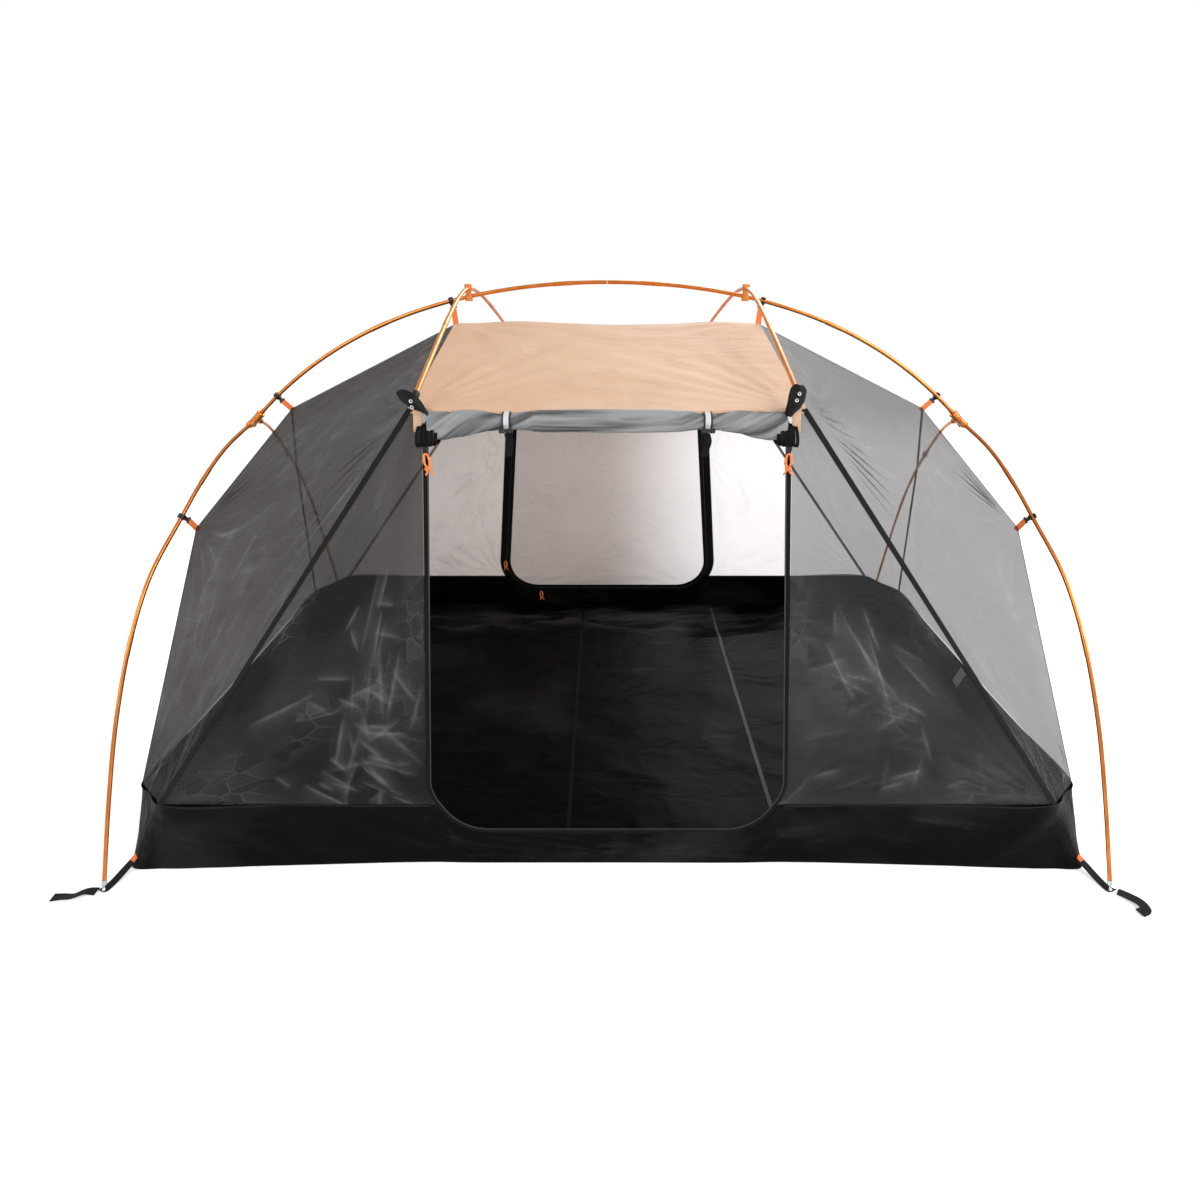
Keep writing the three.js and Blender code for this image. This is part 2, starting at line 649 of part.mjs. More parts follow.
function clip(onPole, along, onFabric) {
  const down = onFabric.clone().sub(onPole);
  down.addScaledVector(along, -down.dot(along)).normalize();
  const aside = along.clone().cross(down);
  const hook = new THREE.Shape();
  const open = 0.7;
  hook.absarc(0, 0, HOOK_OUTER, open, 2 * Math.PI - open, false);
  hook.absarc(0, 0, HOOK_INNER, 2 * Math.PI - open, open, true);
  const ring = extruded(hook, HOOK_WIDTH, 10);
  ring.translate(0, 0, -HOOK_WIDTH / 2).rotateZ(-Math.PI / 2 - 0.9);
  oriented(ring, onPole, aside, down.clone().negate(), aside.clone().cross(down.clone().negate()));
  const start = onPole.clone().addScaledVector(down, HOOK_OUTER - 0.8);
  const way = onFabric.clone().sub(start);
  const reach = way.length() - SEAM_GAP;
  way.normalize();
  const face = way.clone().cross(aside).normalize();
  const tab = new THREE.BoxGeometry(2, HOOK_WIDTH, reach);
  oriented(tab, start.clone().addScaledVector(way, reach / 2), face.clone().cross(way), face, way);
  return geometryOf(solid(ring).add(solid(tab)));
}

function ridgeClip(x, onFabric) {
  const onPole = new THREE.Vector3(x, 0, ridgeZ(x));
  const ahead = new THREE.Vector3(x + 1, 0, ridgeZ(x + 1));
  return clip(onPole, ahead.sub(onPole).normalize(), onFabric);
}

const legClipAt = 0.288; // arc fraction down the leg
const legClip = clip(legLine.getPointAt(legClipAt), legLine.getTangentAt(legClipAt), LEG_CLIP);

// ---- Eave pockets: a stiff patch at each eave with the sleeve that takes the cross pole's end ----

function eavePocket() {
  const tip = crossLine.getPointAt(1);
  const way = crossLine.getTangentAt(1);
  const sleeve = new THREE.CylinderGeometry(7.5, 7.5, 30, 12).rotateX(Math.PI / 2);
  turnedToward(sleeve, tip.clone().addScaledVector(way, -9), way);
  const patch = new THREE.Shape();
  patch.moveTo(-10, -26);
  patch.quadraticCurveTo(-18, -4, -12, 12);
  patch.quadraticCurveTo(4, 16, 26, 10);
  patch.quadraticCurveTo(24, -12, 6, -26);
  const plate = extruded(patch, 3, 4);
  plate.rotateX(Math.PI / 2).translate(tip.x + 2, tip.y + 9, tip.z - 4);
  const block = solid(sleeve).add(solid(plate));
  return geometryOf(block.subtract(clearing(crossLine, 0.9, 1, 6)));
}

// ---- Stake loops: doubled webbing that lies outwards from each corner ----

function stakeLoop() {
  const outline = new THREE.Shape();
  const half = STRAP_WIDTH / 2;
  outline.moveTo(0, -half);
  outline.lineTo(LOOP.length - 4, -half);
  outline.lineTo(LOOP.length, -half + 4);
  outline.lineTo(LOOP.length, half - 4);
  outline.lineTo(LOOP.length - 4, half);
  outline.lineTo(0, half);
  const webbing = extruded(outline, LOOP.thick, 1);
  const start = LEG_TIP.clone().addScaledVector(LOOP_WAY, LOOP.start);
  return oriented(webbing, start.setZ(0.2), LOOP_WAY, Z.clone().cross(LOOP_WAY), Z);
}

for (const [end, signX] of Object.entries(ends)) {
  const half = mirrored(signX, 1);
  place(half, `roof_clip_${end}`, ridgeClip(365, ROOF_CLIP), "clip");
  place(half, `hub_clip_${end}`, ridgeClip(820, HUB_CLIP), "clip");
  for (const [side, signY] of Object.entries(sides)) {
    const corner = mirrored(signX, signY);
    place(corner, `leg_clip_${side}_${end}`, legClip, "clip");
    place(corner, `eave_pocket_${side}_${end}`, eavePocket(), "clip");
    place(corner, `stake_loop_${side}_${end}`, stakeLoop(), "tape");
  }
}

export default tent;
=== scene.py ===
# A low dome tent for two, pitched without its fly. Orange aluminium poles stand up on two hubs, clips hang
# the sewn body from them: a black bathtub floor, grey netting, a beige roof and two zipped doors.
# Metres, +Z up. X runs along the tent, the front door faces -Y, and the origin is the floor's middle.
import math
import random
import bpy
from mathutils import Matrix, Vector, noise


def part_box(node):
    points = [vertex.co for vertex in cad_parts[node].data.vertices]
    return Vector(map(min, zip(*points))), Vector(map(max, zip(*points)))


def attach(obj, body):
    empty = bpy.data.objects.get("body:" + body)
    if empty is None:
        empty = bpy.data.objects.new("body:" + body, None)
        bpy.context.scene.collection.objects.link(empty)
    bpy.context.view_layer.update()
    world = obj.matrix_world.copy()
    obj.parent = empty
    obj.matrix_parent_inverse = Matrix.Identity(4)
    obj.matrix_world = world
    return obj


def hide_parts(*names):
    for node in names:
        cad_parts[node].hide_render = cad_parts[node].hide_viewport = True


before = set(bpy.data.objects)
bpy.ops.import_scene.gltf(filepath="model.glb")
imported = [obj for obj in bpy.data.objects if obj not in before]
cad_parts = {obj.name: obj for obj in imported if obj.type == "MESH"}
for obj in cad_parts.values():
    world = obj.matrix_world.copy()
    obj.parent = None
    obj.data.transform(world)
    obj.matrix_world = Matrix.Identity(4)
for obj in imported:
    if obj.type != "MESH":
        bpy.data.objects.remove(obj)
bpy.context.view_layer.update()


# ---- Camera, studio floor and light ----
# A white floor in white surroundings. A broad soft box stands high on the right, a weaker one on the left
# and one behind, so the cloth keeps a gentle shading and the floor stays nearly free of shadow.
def soft_box(name, place, aim, size, power):
    light = bpy.data.lights.new(name, "AREA")
    light.size = size
    light.energy = power
    holder = bpy.data.objects.new(name, light)
    holder.location = place
    holder.rotation_euler = (Vector(aim) - Vector(place)).to_track_quat("-Z", "Y").to_euler()
    bpy.context.scene.collection.objects.link(holder)


def feed(tree, node, inputs):
    """Links each socket given to the node's input of that name, and sets each plain value on its input."""
    for key, value in dict(inputs).items():
        if isinstance(value, bpy.types.NodeSocket):
            tree.links.new(value, node.inputs[key])
        else:
            node.inputs[key].default_value = value
    return node


def add_node(tree, kind, inputs=(), **settings):
    made = tree.nodes.new("ShaderNode" + kind)
    for key, value in settings.items():
        setattr(made, key, value)
    return feed(tree, made, inputs)


def output(socket, tree, kind, inputs=(), **settings):
    """The named output of a new node."""
    return add_node(tree, kind, inputs, **settings).outputs[socket]


def maths(tree, operation, *values, **settings):
    return output("Value", tree, "Math", dict(enumerate(values)), operation=operation, **settings)


CAMERA_TILT = 26.51
FLOOR_GLOW = 0.42
DAYLIGHT = 0.62
optics = bpy.data.cameras.new("camera")
optics.lens = 20.023
optics.sensor_width = 36.0
optics.shift_x = -0.0059
camera = bpy.data.objects.new("camera", optics)
camera.location = (0.0, -1.7127, 1.1932)
camera.rotation_euler = (math.radians(90.0 - CAMERA_TILT), 0.0, 0.0)
bpy.context.scene.collection.objects.link(camera)
bpy.context.scene.camera = camera
bpy.context.scene.view_settings.view_transform = "Standard"

bpy.ops.object.select_all(action="DESELECT")
bpy.ops.mesh.primitive_plane_add(size=60.0, location=(0.0, 0.0, -0.0004))
studio_floor = bpy.context.active_object
studio_floor.name = "studio_floor"
floor_paint = bpy.data.materials.new("white_floor")
floor_paint.use_nodes = True
white = (1.0, 1.0, 1.0, 1.0)
direct = output("Is Camera Ray", floor_paint.node_tree, "LightPath")
feed(floor_paint.node_tree, floor_paint.node_tree.nodes["Principled BSDF"], {
    "Base Color": (0.93, 0.93, 0.93, 1.0),
    "Roughness": 0.9,
    "Emission Color": white,
    "Emission Strength": maths(floor_paint.node_tree, "MULTIPLY", direct, FLOOR_GLOW),
})
studio_floor.data.materials.append(floor_paint)

surroundings = bpy.data.worlds.new("white_surroundings")
surroundings.use_nodes = True
sky = surroundings.node_tree
seen = output("Is Camera Ray", sky, "LightPath")
strength = output("Result", sky, "MapRange", {"Value": seen, "To Min": DAYLIGHT, "To Max": 1.0})
feed(sky, sky.nodes["Background"], {"Color": white, "Strength": strength})
bpy.context.scene.world = surroundings

soft_box("key_box", (3.6, -2.4, 3.0), (0.0, 0.0, 0.4), 2.2, 130.0)
soft_box("left_box", (-2.6, -3.2, 2.6), (0.0, 0.0, 0.7), 2.0, 52.0)
soft_box("rear_box", (1.2, 3.4, 2.8), (0.0, 0.0, 0.5), 2.4, 70.0)


# ---- Poles ----
# Orange anodised aluminium tubing, 8.5 mm across, drawn thin and sprung into curves: a ridge pole in two
# halves, four legs and two cross poles over the eaves. Each is made of lengths joined by swaged sleeves.
SIDES = {"front": -1, "rear": 1}
ENDS = {"left": -1, "right": 1}
POLE_RADIUS = 0.00425
SLEEVE_PROUD = 0.0005
SLEEVE_LENGTH = 0.045
RIDGE_TOP = 1.162
HUB = Vector((0.885, 0.0, 0.851))
SOCKET_START = 0.012
SCRATCH_DEPTH = 0.00004
TIP_HEIGHT = 0.022
CROSS_AT = 0.323
CROSS_RISE = 0.017
CROSS_HALF = 0.606
LEG_POINTS = [
    HUB,
    Vector((0.916, 0.118, 0.804)),
    Vector((0.941, 0.212, 0.744)),
    Vector((0.961, 0.290, 0.683)),
    Vector((0.990, 0.395, 0.594)),
    Vector((1.012, 0.482, 0.485)),
    Vector((1.035, 0.566, 0.339)),
    Vector((1.054, 0.638, 0.185)),
    Vector((1.074, 0.714, 0.004)),
]


def new_group(name, inputs, outputs):
    tree = bpy.data.node_groups.new(name, "ShaderNodeTree")
    for label, value in inputs.items():
        socket = tree.interface.new_socket(name=label, in_out="INPUT", socket_type="NodeSocketFloat")
        socket.default_value = value
    for label in outputs:
        tree.interface.new_socket(name=label, in_out="OUTPUT", socket_type="NodeSocketFloat")
    return tree, tree.nodes.new("NodeGroupInput"), tree.nodes.new("NodeGroupOutput")


# Mottling and fine scratches on a hard piece, in its own coordinates.
grain, grain_in, grain_out = new_group("grain", {"Scale": 60.0}, ["Tone", "Scratches"])
place = output("Object", grain, "TexCoord")
mottle_scale = grain_in.outputs["Scale"]
mottle = output("Fac", grain, "TexNoise", {"Vector": place, "Scale": mottle_scale, "Detail": 5.0})
stretched = output("Vector", grain, "Mapping", {"Vector": place, "Scale": (1.0, 6.0, 6.0)})
lines = output("Fac", grain, "TexNoise", {"Vector": stretched, "Scale": 420.0, "Detail": 3.0})
feed(grain, grain_out, {"Tone": mottle, "Scratches": lines})


def grouped(tree, group, values):
    """The outputs of a group placed in a material."""
    made = tree.nodes.new("ShaderNodeGroup")
    made.node_tree = group
    return feed(tree, made, values).outputs


def dressed(name, metallic=0.0, **shader_values):
    made = bpy.data.materials.new(name)
    made.use_nodes = True
    shader = made.node_tree.nodes["Principled BSDF"]
    feed(made.node_tree, shader, {"Metallic": metallic})
    feed(made.node_tree, shader, {key.replace("_", " "): value for key, value in shader_values.items()})
    return made, made.node_tree, shader


def tinted(tree, factor, dark, light, low=0.3, high=0.7):
    ramp = add_node(tree, "ValToRGB", {"Fac": factor})
    for stop, position, tone in zip(ramp.color_ramp.elements, (low, high), (dark, light)):
        stop.position = position
        stop.color = (*tone, 1.0)
    return ramp.outputs["Color"]


def hard_finish(name, dark, light, roughness, metallic, scale=60.0):
    made, tree, shader = dressed(name, metallic)
    wear = grouped(tree, grain, {"Scale": scale})
    scratches, limits = wear["Scratches"], {"To Min": roughness[0], "To Max": roughness[1]}
    feed(tree, shader, {
        "Base Color": tinted(tree, wear["Tone"], dark, light),
        "Roughness": output("Result", tree, "MapRange", {"Value": scratches, **limits}),
        "Normal": output(
            "Normal", tree, "Bump", {"Height": scratches, "Distance": SCRATCH_DEPTH, "Strength": 0.6},
        ),
    })
    return made


def only(piece):
    bpy.ops.object.select_all(action="DESELECT")
    piece.select_set(True)
    bpy.context.view_layer.objects.active = piece


def smoothed(piece, angle=0.7):
    only(piece)
    bpy.ops.object.shade_smooth_by_angle(angle=angle)


# One smooth curve through the points, with the same number of steps to each span.
def through(points, steps):
    ends = [2 * points[0] - points[1], *points, 2 * points[-1] - points[-2]]
    curve = []
    for before, start, end, after in zip(ends, ends[1:], ends[2:], ends[3:]):
        first, middle, last = (
            math.sqrt((b - a).length) for a, b in ((before, start), (start, end), (end, after))
        )
        leave = (start - before) / first - (end - before) / (first + middle) + (end - start) / middle
        arrive = (end - start) / middle - (after - start) / (middle + last) + (after - end) / last
        for step in range(steps):
            t = step / steps
            curve.append(
                (2 * t**3 - 3 * t**2 + 1) * start
                + (t**3 - 2 * t**2 + t) * middle * leave
                + (3 * t**2 - 2 * t**3) * end
                + (t**3 - t**2) * middle * arrive
            )
    curve.append(points[-1])
    return curve


def along(curve, distance):
    """The point and the direction that far along a curve; a negative distance counts from its end."""
    spans = [(b - a).length for a, b in zip(curve, curve[1:])]
    left = distance if distance >= 0 else sum(spans) + distance
    for a, b, span in zip(curve, curve[1:], spans):
        if left <= span:
            return a.lerp(b, left / span), (b - a).normalized()
        left -= span
    return curve[-1], (curve[-1] - curve[-2]).normalized()


def trimmed(curve, start, end):
    """The curve with start cut off its beginning and end off its end."""
    total = sum((b - a).length for a, b in zip(curve, curve[1:]))
    kept, gone = [along(curve, start)[0]], 0.0
    for a, b in zip(curve, curve[1:]):
        gone += (b - a).length
        if start + 1e-4 < gone < total - end - 1e-4:
            kept.append(b)
    kept.append(along(curve, total - end)[0])
    return kept


def mirror(point, sign_x, sign_y):
    return Vector((sign_x * point.x, sign_y * point.y, point.z))


def tube(name, points, radius, roundness=4):
    path = bpy.data.curves.new(name, "CURVE")
    path.dimensions = "3D"
    path.bevel_depth = radius
    path.bevel_resolution = roundness
    path.use_fill_caps = True
    spline = path.splines.new("POLY")
    spline.points.add(len(points) - 1)
    for knot, point in zip(spline.points, points):
        knot.co = (*point, 1.0)
    piece = bpy.data.objects.new(name, path)
    bpy.context.scene.collection.objects.link(piece)
    only(piece)
    bpy.ops.object.convert(target="MESH")
    piece = bpy.context.active_object
    smoothed(piece)
    return piece


def dress(piece, material, body="tent", replaces=()):
    piece.data.materials.clear()
    piece.data.materials.append(material)
    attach(piece, body)
    if replaces:
        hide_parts(*replaces)
    return piece


def ridge_z(x):
    return RIDGE_TOP - 0.2773 * x**2 - 0.1529 * x**4


def cross_point(y):
    drop = math.hypot(0.05, 0.31 * y) - 0.05
    return Vector((CROSS_AT - 0.02 * abs(y), y, ridge_z(CROSS_AT) + CROSS_RISE - drop))


ridge_line = [Vector((HUB.x * i / 48, 0.0, ridge_z(HUB.x * i / 48))) for i in range(49)]
cross_line = [cross_point(CROSS_HALF * (i / 32 - 1)) for i in range(65)]
leg_line = through(LEG_POINTS, 8)
anodised = hard_finish("orange_anodised", (0.70, 0.19, 0.03), (0.86, 0.29, 0.06), (0.20, 0.34), 0.9, 30.0)


def pole_set(name, line, cuts, sleeves, signs):
    """A length of pole with its swaged sleeves, standing for the node of the same name."""
    here = [mirror(point, *signs) for point in trimmed(line, *cuts)]
    dress(tube(name + "_tube", here, POLE_RADIUS), anodised, replaces=[name])
    whole = [mirror(point, *signs) for point in line]
    for count, distance in enumerate(sleeves):
        around = [along(whole, distance + SLEEVE_LENGTH * step / 4)[0] for step in range(5)]
        sleeve = tube(f"{name}_sleeve_{count}", around, POLE_RADIUS + SLEEVE_PROUD)
        dress(sleeve, anodised)


for end, sign_x in ENDS.items():
    pole_set(f"ridge_pole_{end}", ridge_line, (0.0005, SOCKET_START), (0.08, 0.53, 0.93), (sign_x, 1))
    pole_set(f"cross_pole_{end}", cross_line, (0.002, 0.002), (0.31, 0.89), (sign_x, 1))
    for side, sign_y in SIDES.items():
        pole_set(
            f"leg_pole_{side}_{end}", leg_line, (SOCKET_START, TIP_HEIGHT), (0.20, 0.62), (sign_x, sign_y),
        )


# ---- Hubs, swivel connectors and pole tips ----
# Machined aluminium, anodised orange: a collared barrel with two leg sockets at both ends of the ridge and a
# waisted block where each cross pole swivels on it. The ball tips that the legs stand on are bare metal.
HUB_RADIUS = 0.0098
BLOCK_RADIUS = 0.0085
SOCKET_PROFILE = [
    (0.0, 0.0), (0.0084, 0.0), (0.0076, 0.027), (0.0082, 0.028), (0.0082, 0.033), (0.0074, 0.034),
    (0.0, 0.034),
]
TIP_PROFILE = [
    (0.0, -0.004), (0.0024, -0.0032), (0.0038, -0.0012), (0.0040, 0.0), (0.0036, 0.0018), (0.0028, 0.0029),
    (0.0022, 0.005), (0.0022, 0.009), (0.0046, 0.011), (0.0046, 0.0214), (0.0026, 0.0214), (0.0026, 0.034),
    (0.0, 0.034),
]


def turned(name, profile, origin, way, steps=32):
    """Spins a profile of (radius, height) pairs, from axis to axis, and lays its axis along way."""
    mesh = bpy.data.meshes.new(name)
    mesh.from_pydata([(r, 0.0, h) for r, h in profile], [(i, i + 1) for i in range(len(profile) - 1)], [])
    piece = bpy.data.objects.new(name, mesh)
    bpy.context.scene.collection.objects.link(piece)
    only(piece)
    bpy.ops.object.mode_set(mode="EDIT")
    bpy.ops.mesh.select_all(action="SELECT")
    bpy.ops.mesh.spin(steps=steps, angle=2 * math.pi, center=(0, 0, 0), axis=(0, 0, 1))
    bpy.ops.mesh.select_all(action="SELECT")
    bpy.ops.mesh.remove_doubles(threshold=1e-6)
    bpy.ops.mesh.normals_make_consistent(inside=False)
    bpy.ops.object.mode_set(mode="OBJECT")
    turn = Vector((0, 0, 1)).rotation_difference(way).to_matrix().to_4x4()
    mesh.transform(Matrix.Translation(origin) @ turn)
    smoothed(piece, 0.6)
    return piece


def collared(radius, half, collar, waist):
    """A barrel's profile with a bevelled collar at each end and a slightly smaller waist between."""
    lip = 0.0008
    right = [(radius, half - collar), (radius, half - lip), (radius - lip, half), (0.0, half)]
    left = [(r, -h) for r, h in reversed(right)]
    return [
        *left, (radius - waist, -half + collar + waist), (radius - waist, half - collar - waist), *right,
    ]


machined = hard_finish("orange_machined", (0.80, 0.25, 0.04), (0.95, 0.40, 0.11), (0.20, 0.34), 0.7, 90.0)
tip_metal = hard_finish("polished_tip", (0.60, 0.61, 0.62), (0.80, 0.80, 0.81), (0.18, 0.32), 1.0, 160.0)
ridge_way = along(ridge_line, -0.001)[1]
leg_way = along(leg_line, 0.02)[1]
for end, sign_x in ENDS.items():
    place_at = mirror(HUB, sign_x, 1)
    barrel = turned(
        f"hub_barrel_{end}", collared(HUB_RADIUS, 0.0215, 0.006, 0.0009), place_at,
        mirror(ridge_way, sign_x, 1),
    )
    dress(barrel, machined, replaces=[f"hub_{end}"])
    for side, sign_y in SIDES.items():
        way = mirror(leg_way, sign_x, sign_y)
        socket = turned(f"hub_socket_{side}_{end}", SOCKET_PROFILE, place_at, way)
        dress(socket, machined)
        up_leg = -mirror(along(leg_line, -0.001)[1], sign_x, sign_y)
        tip = turned(
            f"ball_tip_{side}_{end}", TIP_PROFILE, mirror(LEG_POINTS[-1], sign_x, sign_y), up_leg, 24,
        )
        dress(tip, tip_metal, replaces=[f"pole_tip_{side}_{end}"])
    middle = Vector((sign_x * CROSS_AT, 0.0, ridge_z(CROSS_AT) + CROSS_RISE / 2))
    block = turned(
        f"swivel_block_{end}", collared(BLOCK_RADIUS, 0.018, 0.0125, 0.0016), middle, Vector((0, 0, 1)),
    )
    dress(block, machined, replaces=[f"swivel_connector_{end}"])


# ---- Bathtub floor ----
# Coated black nylon, cut as a floor with low walls turned up all round and notched for the two doors. It
# lies slack, so the walls buckle into folds at the corners. Two seams are taped, one of them in light grey.
TUB_HEIGHT = 0.140
DOOR_BOTTOM = 0.080
DOOR_CORNER = 0.120
CORNER_X = 0.262565
CORNER_Z = DOOR_BOTTOM + DOOR_CORNER
TAPE_HALF = 0.006
FOOT_QUARTER = [
    (0.0, 0.640), (0.14, 0.640), (0.28, 0.640), (0.42, 0.640), (0.72, 0.649), (0.98, 0.658),
    (1.053, 0.654), (1.065, 0.600), (1.061, 0.300), (1.059, 0.0),
]
RIM_QUARTER = [
    (0.0, 0.605, 0.14), (0.14, 0.605, 0.14), (0.28, 0.605, 0.14), (0.42, 0.605, 0.14), (0.70, 0.605, 0.14),
    (0.98, 0.605, 0.14), (1.03, 0.5595, 0.13), (1.08, 0.514, 0.12), (1.074, 0.28, 0.12), (1.072, 0.0, 0.12),
]

# Threads each way and soft creases on cloth, in metres along the cloth itself.
weave, weave_in, weave_out = new_group(
    "weave", {"Threads": 900.0, "Creases": 9.0, "Stretch": 3.0}, [
        "Threads", "Creases", "Tone", "Ridges", "Facets",
    ]
)
cloth_uv = output("UV", weave, "TexCoord")
asked = weave_in.outputs
counted = output("Vector", weave, "VectorMath", {0: cloth_uv, "Scale": asked["Threads"]}, operation="SCALE")
apart = add_node(weave, "SeparateXYZ", {0: counted}).outputs
crossed = maths(weave, "MAXIMUM", maths(weave, "SINE", apart["X"]), maths(weave, "SINE", apart["Y"]))
lifted = output("Result", weave, "MapRange", {"Value": crossed, "From Min": -1.0, "From Max": 1.0})
pulled = output("Vector", weave, "CombineXYZ", {"X": 1.0, "Y": asked["Stretch"], "Z": 1.0})
drawn = output("Vector", weave, "VectorMath", {0: cloth_uv, 1: pulled}, operation="MULTIPLY")
along_cloth = {"Vector": drawn, "Scale": asked["Creases"]}
creased = output("Fac", weave, "TexNoise", {**along_cloth, "Detail": 6.0, "Distortion": 0.7})
clouds = output("Fac", weave, "TexNoise", {"Vector": cloth_uv, "Scale": 2.6, "Detail": 4.0})
facets = output("Distance", weave, "TexVoronoi", along_cloth, feature="DISTANCE_TO_EDGE")
cells = output("Color", weave, "TexVoronoi", along_cloth)
patches = output("Fac", weave, "TexNoise", {"Vector": cloth_uv, "Scale": 3.4, "Detail": 1.0})
where = output("Result", weave, "MapRange", {"Value": patches, "From Min": 0.47, "From Max": 0.62})
edge_width = {"From Min": 0.0, "From Max": 0.05, "To Min": 1.0, "To Max": 0.0}
thin = output("Result", weave, "MapRange", {"Value": facets, **edge_width})
cell = output("Red", weave, "SeparateColor", {"Color": cells})
feed(weave, weave_out, {
    "Ridges": maths(weave, "MULTIPLY", thin, where),
    "Facets": maths(weave, "MULTIPLY", cell, where),
    "Threads": lifted,
    "Creases": creased,
    "Tone": clouds,
})


def woven(tree, *values):
    """The weave's outputs, given its threads, its creases and, where it isn't the usual one, its stretch."""
    return grouped(tree, weave, dict(zip(("Threads", "Creases", "Stretch"), values)))


def cloth_finish(
    name, dark, light, roughness, weave_values, relief=(0.0001, 0.004), creased=0.0, **shader_values,
):
    """Cloth whose tone, gloss and surface vary; creased is how much painted fold highlights lighten it."""
    made, tree, shader = dressed(name, **shader_values)
    threads = woven(tree, *weave_values)
    folds = output(
        "Normal", tree, "Bump", {"Height": threads["Creases"], "Distance": relief[1], "Strength": 1.0},
    )
    fine = {"Height": threads["Threads"], "Distance": relief[0], "Strength": 0.5, "Normal": folds}
    fold_light = output("Fac", tree, "Attribute", attribute_name="fold_light")
    tone = maths(tree, "MULTIPLY_ADD", fold_light, creased, threads["Tone"])
    limits = {"To Min": roughness[0], "To Max": roughness[1]}
    feed(tree, shader, {
        "Base Color": tinted(tree, tone, dark, light, *((0.5, 1.0) if creased else (0.3, 0.7))),
        "Roughness": output("Result", tree, "MapRange", {"Value": threads["Tone"], **limits}),
        "Normal": output("Normal", tree, "Bump", fine),
    })
    return made


def cloth(name, across, down, surface, flat, relief=None, thickness=0.0, fold_lights=None):
    """A grid laid on surface(u, v) and lifted off it by relief(u, v), with its UVs in metres of cloth.
    The painted highlights along its folds, from 0 to 1 as the last argument gives them, are kept with each
    vertex."""
    bpy.ops.object.select_all(action="DESELECT")
    bpy.ops.mesh.primitive_grid_add(x_subdivisions=across, y_subdivisions=down, size=1.0)
    piece = bpy.context.active_object
    piece.name = name
    nudge = 1e-3
    fold_light = piece.data.attributes.new("fold_light", "FLOAT", "POINT") if fold_lights else None
    for vertex in piece.data.vertices:
        u, v = vertex.co.x + 0.5, vertex.co.y + 0.5
        here = surface(u, v)
        if fold_lights:
            fold_light.data[vertex.index].value = fold_lights(u, v)
        if relief:
            along_u = surface(min(u + nudge, 1.0), v) - surface(max(u - nudge, 0.0), v)
            along_v = surface(u, min(v + nudge, 1.0)) - surface(u, max(v - nudge, 0.0))
            here = here + along_u.cross(along_v).normalized() * relief(u, v)
        vertex.co = here
    for corner in piece.data.uv_layers.active.data:
        corner.uv = (corner.uv[0] * flat[0], corner.uv[1] * flat[1])
    if thickness:
        only(piece)
        solidify = piece.modifiers.new("thickness", "SOLIDIFY")
        solidify.thickness = thickness
        solidify.offset = 0.0
        bpy.ops.object.modifier_apply(modifier="thickness")
    smoothed(piece, 0.9)
    return piece


def facing_out(piece, centre=(0.0, 0.0, 0.4)):
    """Turns an open sheet's faces away from the middle of the tent."""
    middle = Vector(centre)
    lean = sum(
        face.area * face.normal.dot((face.center - middle).normalized()) for face in piece.data.polygons
    )
    if lean < 0:
        piece.data.flip_normals()
    return piece


def ribbon(name, path, side, width, thickness=0.0012, across=3):
    """Webbing or tape along a path; side is the way across it, one for the path or one for each point."""
    last = len(path) - 1
    ways = side if isinstance(side, list) else [side] * len(path)

    def surface(u, v):
        start = min(int(v * last), last - 1)
        part = v * last - start
        centre = path[start].lerp(path[start + 1], part)
        return centre + ways[start].lerp(ways[start + 1], part).normalized() * (u - 0.5) * width

    length = sum((b - a).length for a, b in zip(path, path[1:]))
    return cloth(name, across, last, surface, (width, length), thickness=thickness)


def ring(quarter):
    """The whole outline from its quarter with X and Y positive, from the middle of the rear and back."""
    points = [Vector((*p, 0.0)) if len(p) == 2 else Vector(p) for p in quarter]
    inner = points[1:-1]
    stations = [
        *points,
        *(mirror(p, 1, -1) for p in reversed(inner)),
        *(mirror(p, -1, -1) for p in points),
        *(mirror(p, -1, 1) for p in reversed(inner)),
        points[0],
    ]
    return through(stations, 14)


def notch(x):
    """How high a long wall reaches at x: full height, or down to the door's zip."""
    reach, away = DOOR_CORNER + TAPE_HALF, abs(x) - CORNER_X
    if away <= 0:
        return DOOR_BOTTOM - TAPE_HALF
    if away >= reach:
        return TUB_HEIGHT
    return min(TUB_HEIGHT, CORNER_Z - math.sqrt(reach**2 - away**2))


def on_ring(line, u):
    last = len(line) - 1
    start = min(int(u * last), last - 1)
    return line[start].lerp(line[start + 1], u * last - start)


def fold_lines(seed, count, centre, spread, reach, lean=None):
    """Painted fold highlights, in metres of cloth: start, way, length, the side that shines and how much."""
    dice = random.Random(seed)
    lines = []
    for _ in range(count):
        angle = dice.uniform(0.0, 2 * math.pi) if lean is None else dice.gauss(lean, 0.22)
        start = (centre[0] + dice.gauss(0.0, spread[0]), centre[1] + dice.gauss(0.0, spread[1]))
        length = reach * dice.uniform(0.3, 1.0)
        side, strength = dice.choice((-1, 1)), dice.uniform(0.15, 0.8)
        lines.append((*start, math.cos(angle), math.sin(angle), length, side, strength))
    return lines


def fold_highlight(x, y, lines, width=0.0035):
    """Painted highlight of the folds at x, y: a thin line along each, fading off to one side."""
    bright = 0.0
    for start_x, start_y, way_x, way_y, length, side, strength in lines:
        part = ((x - start_x) * way_x + (y - start_y) * way_y) / length
        if not 0.0 < part < 1.0:
            continue
        off = ((y - start_y) * way_x - (x - start_x) * way_y) * side
        sheen = 0.42 * math.exp(-off / (0.010 + 0.09 * length * part)) if off > 0 else 0.0
        line = 0.5 * math.exp(-((off / width) ** 2))
        bright += strength * math.sin(math.pi * part) ** 0.8 * (line + sheen)
    return min(1.0, bright)


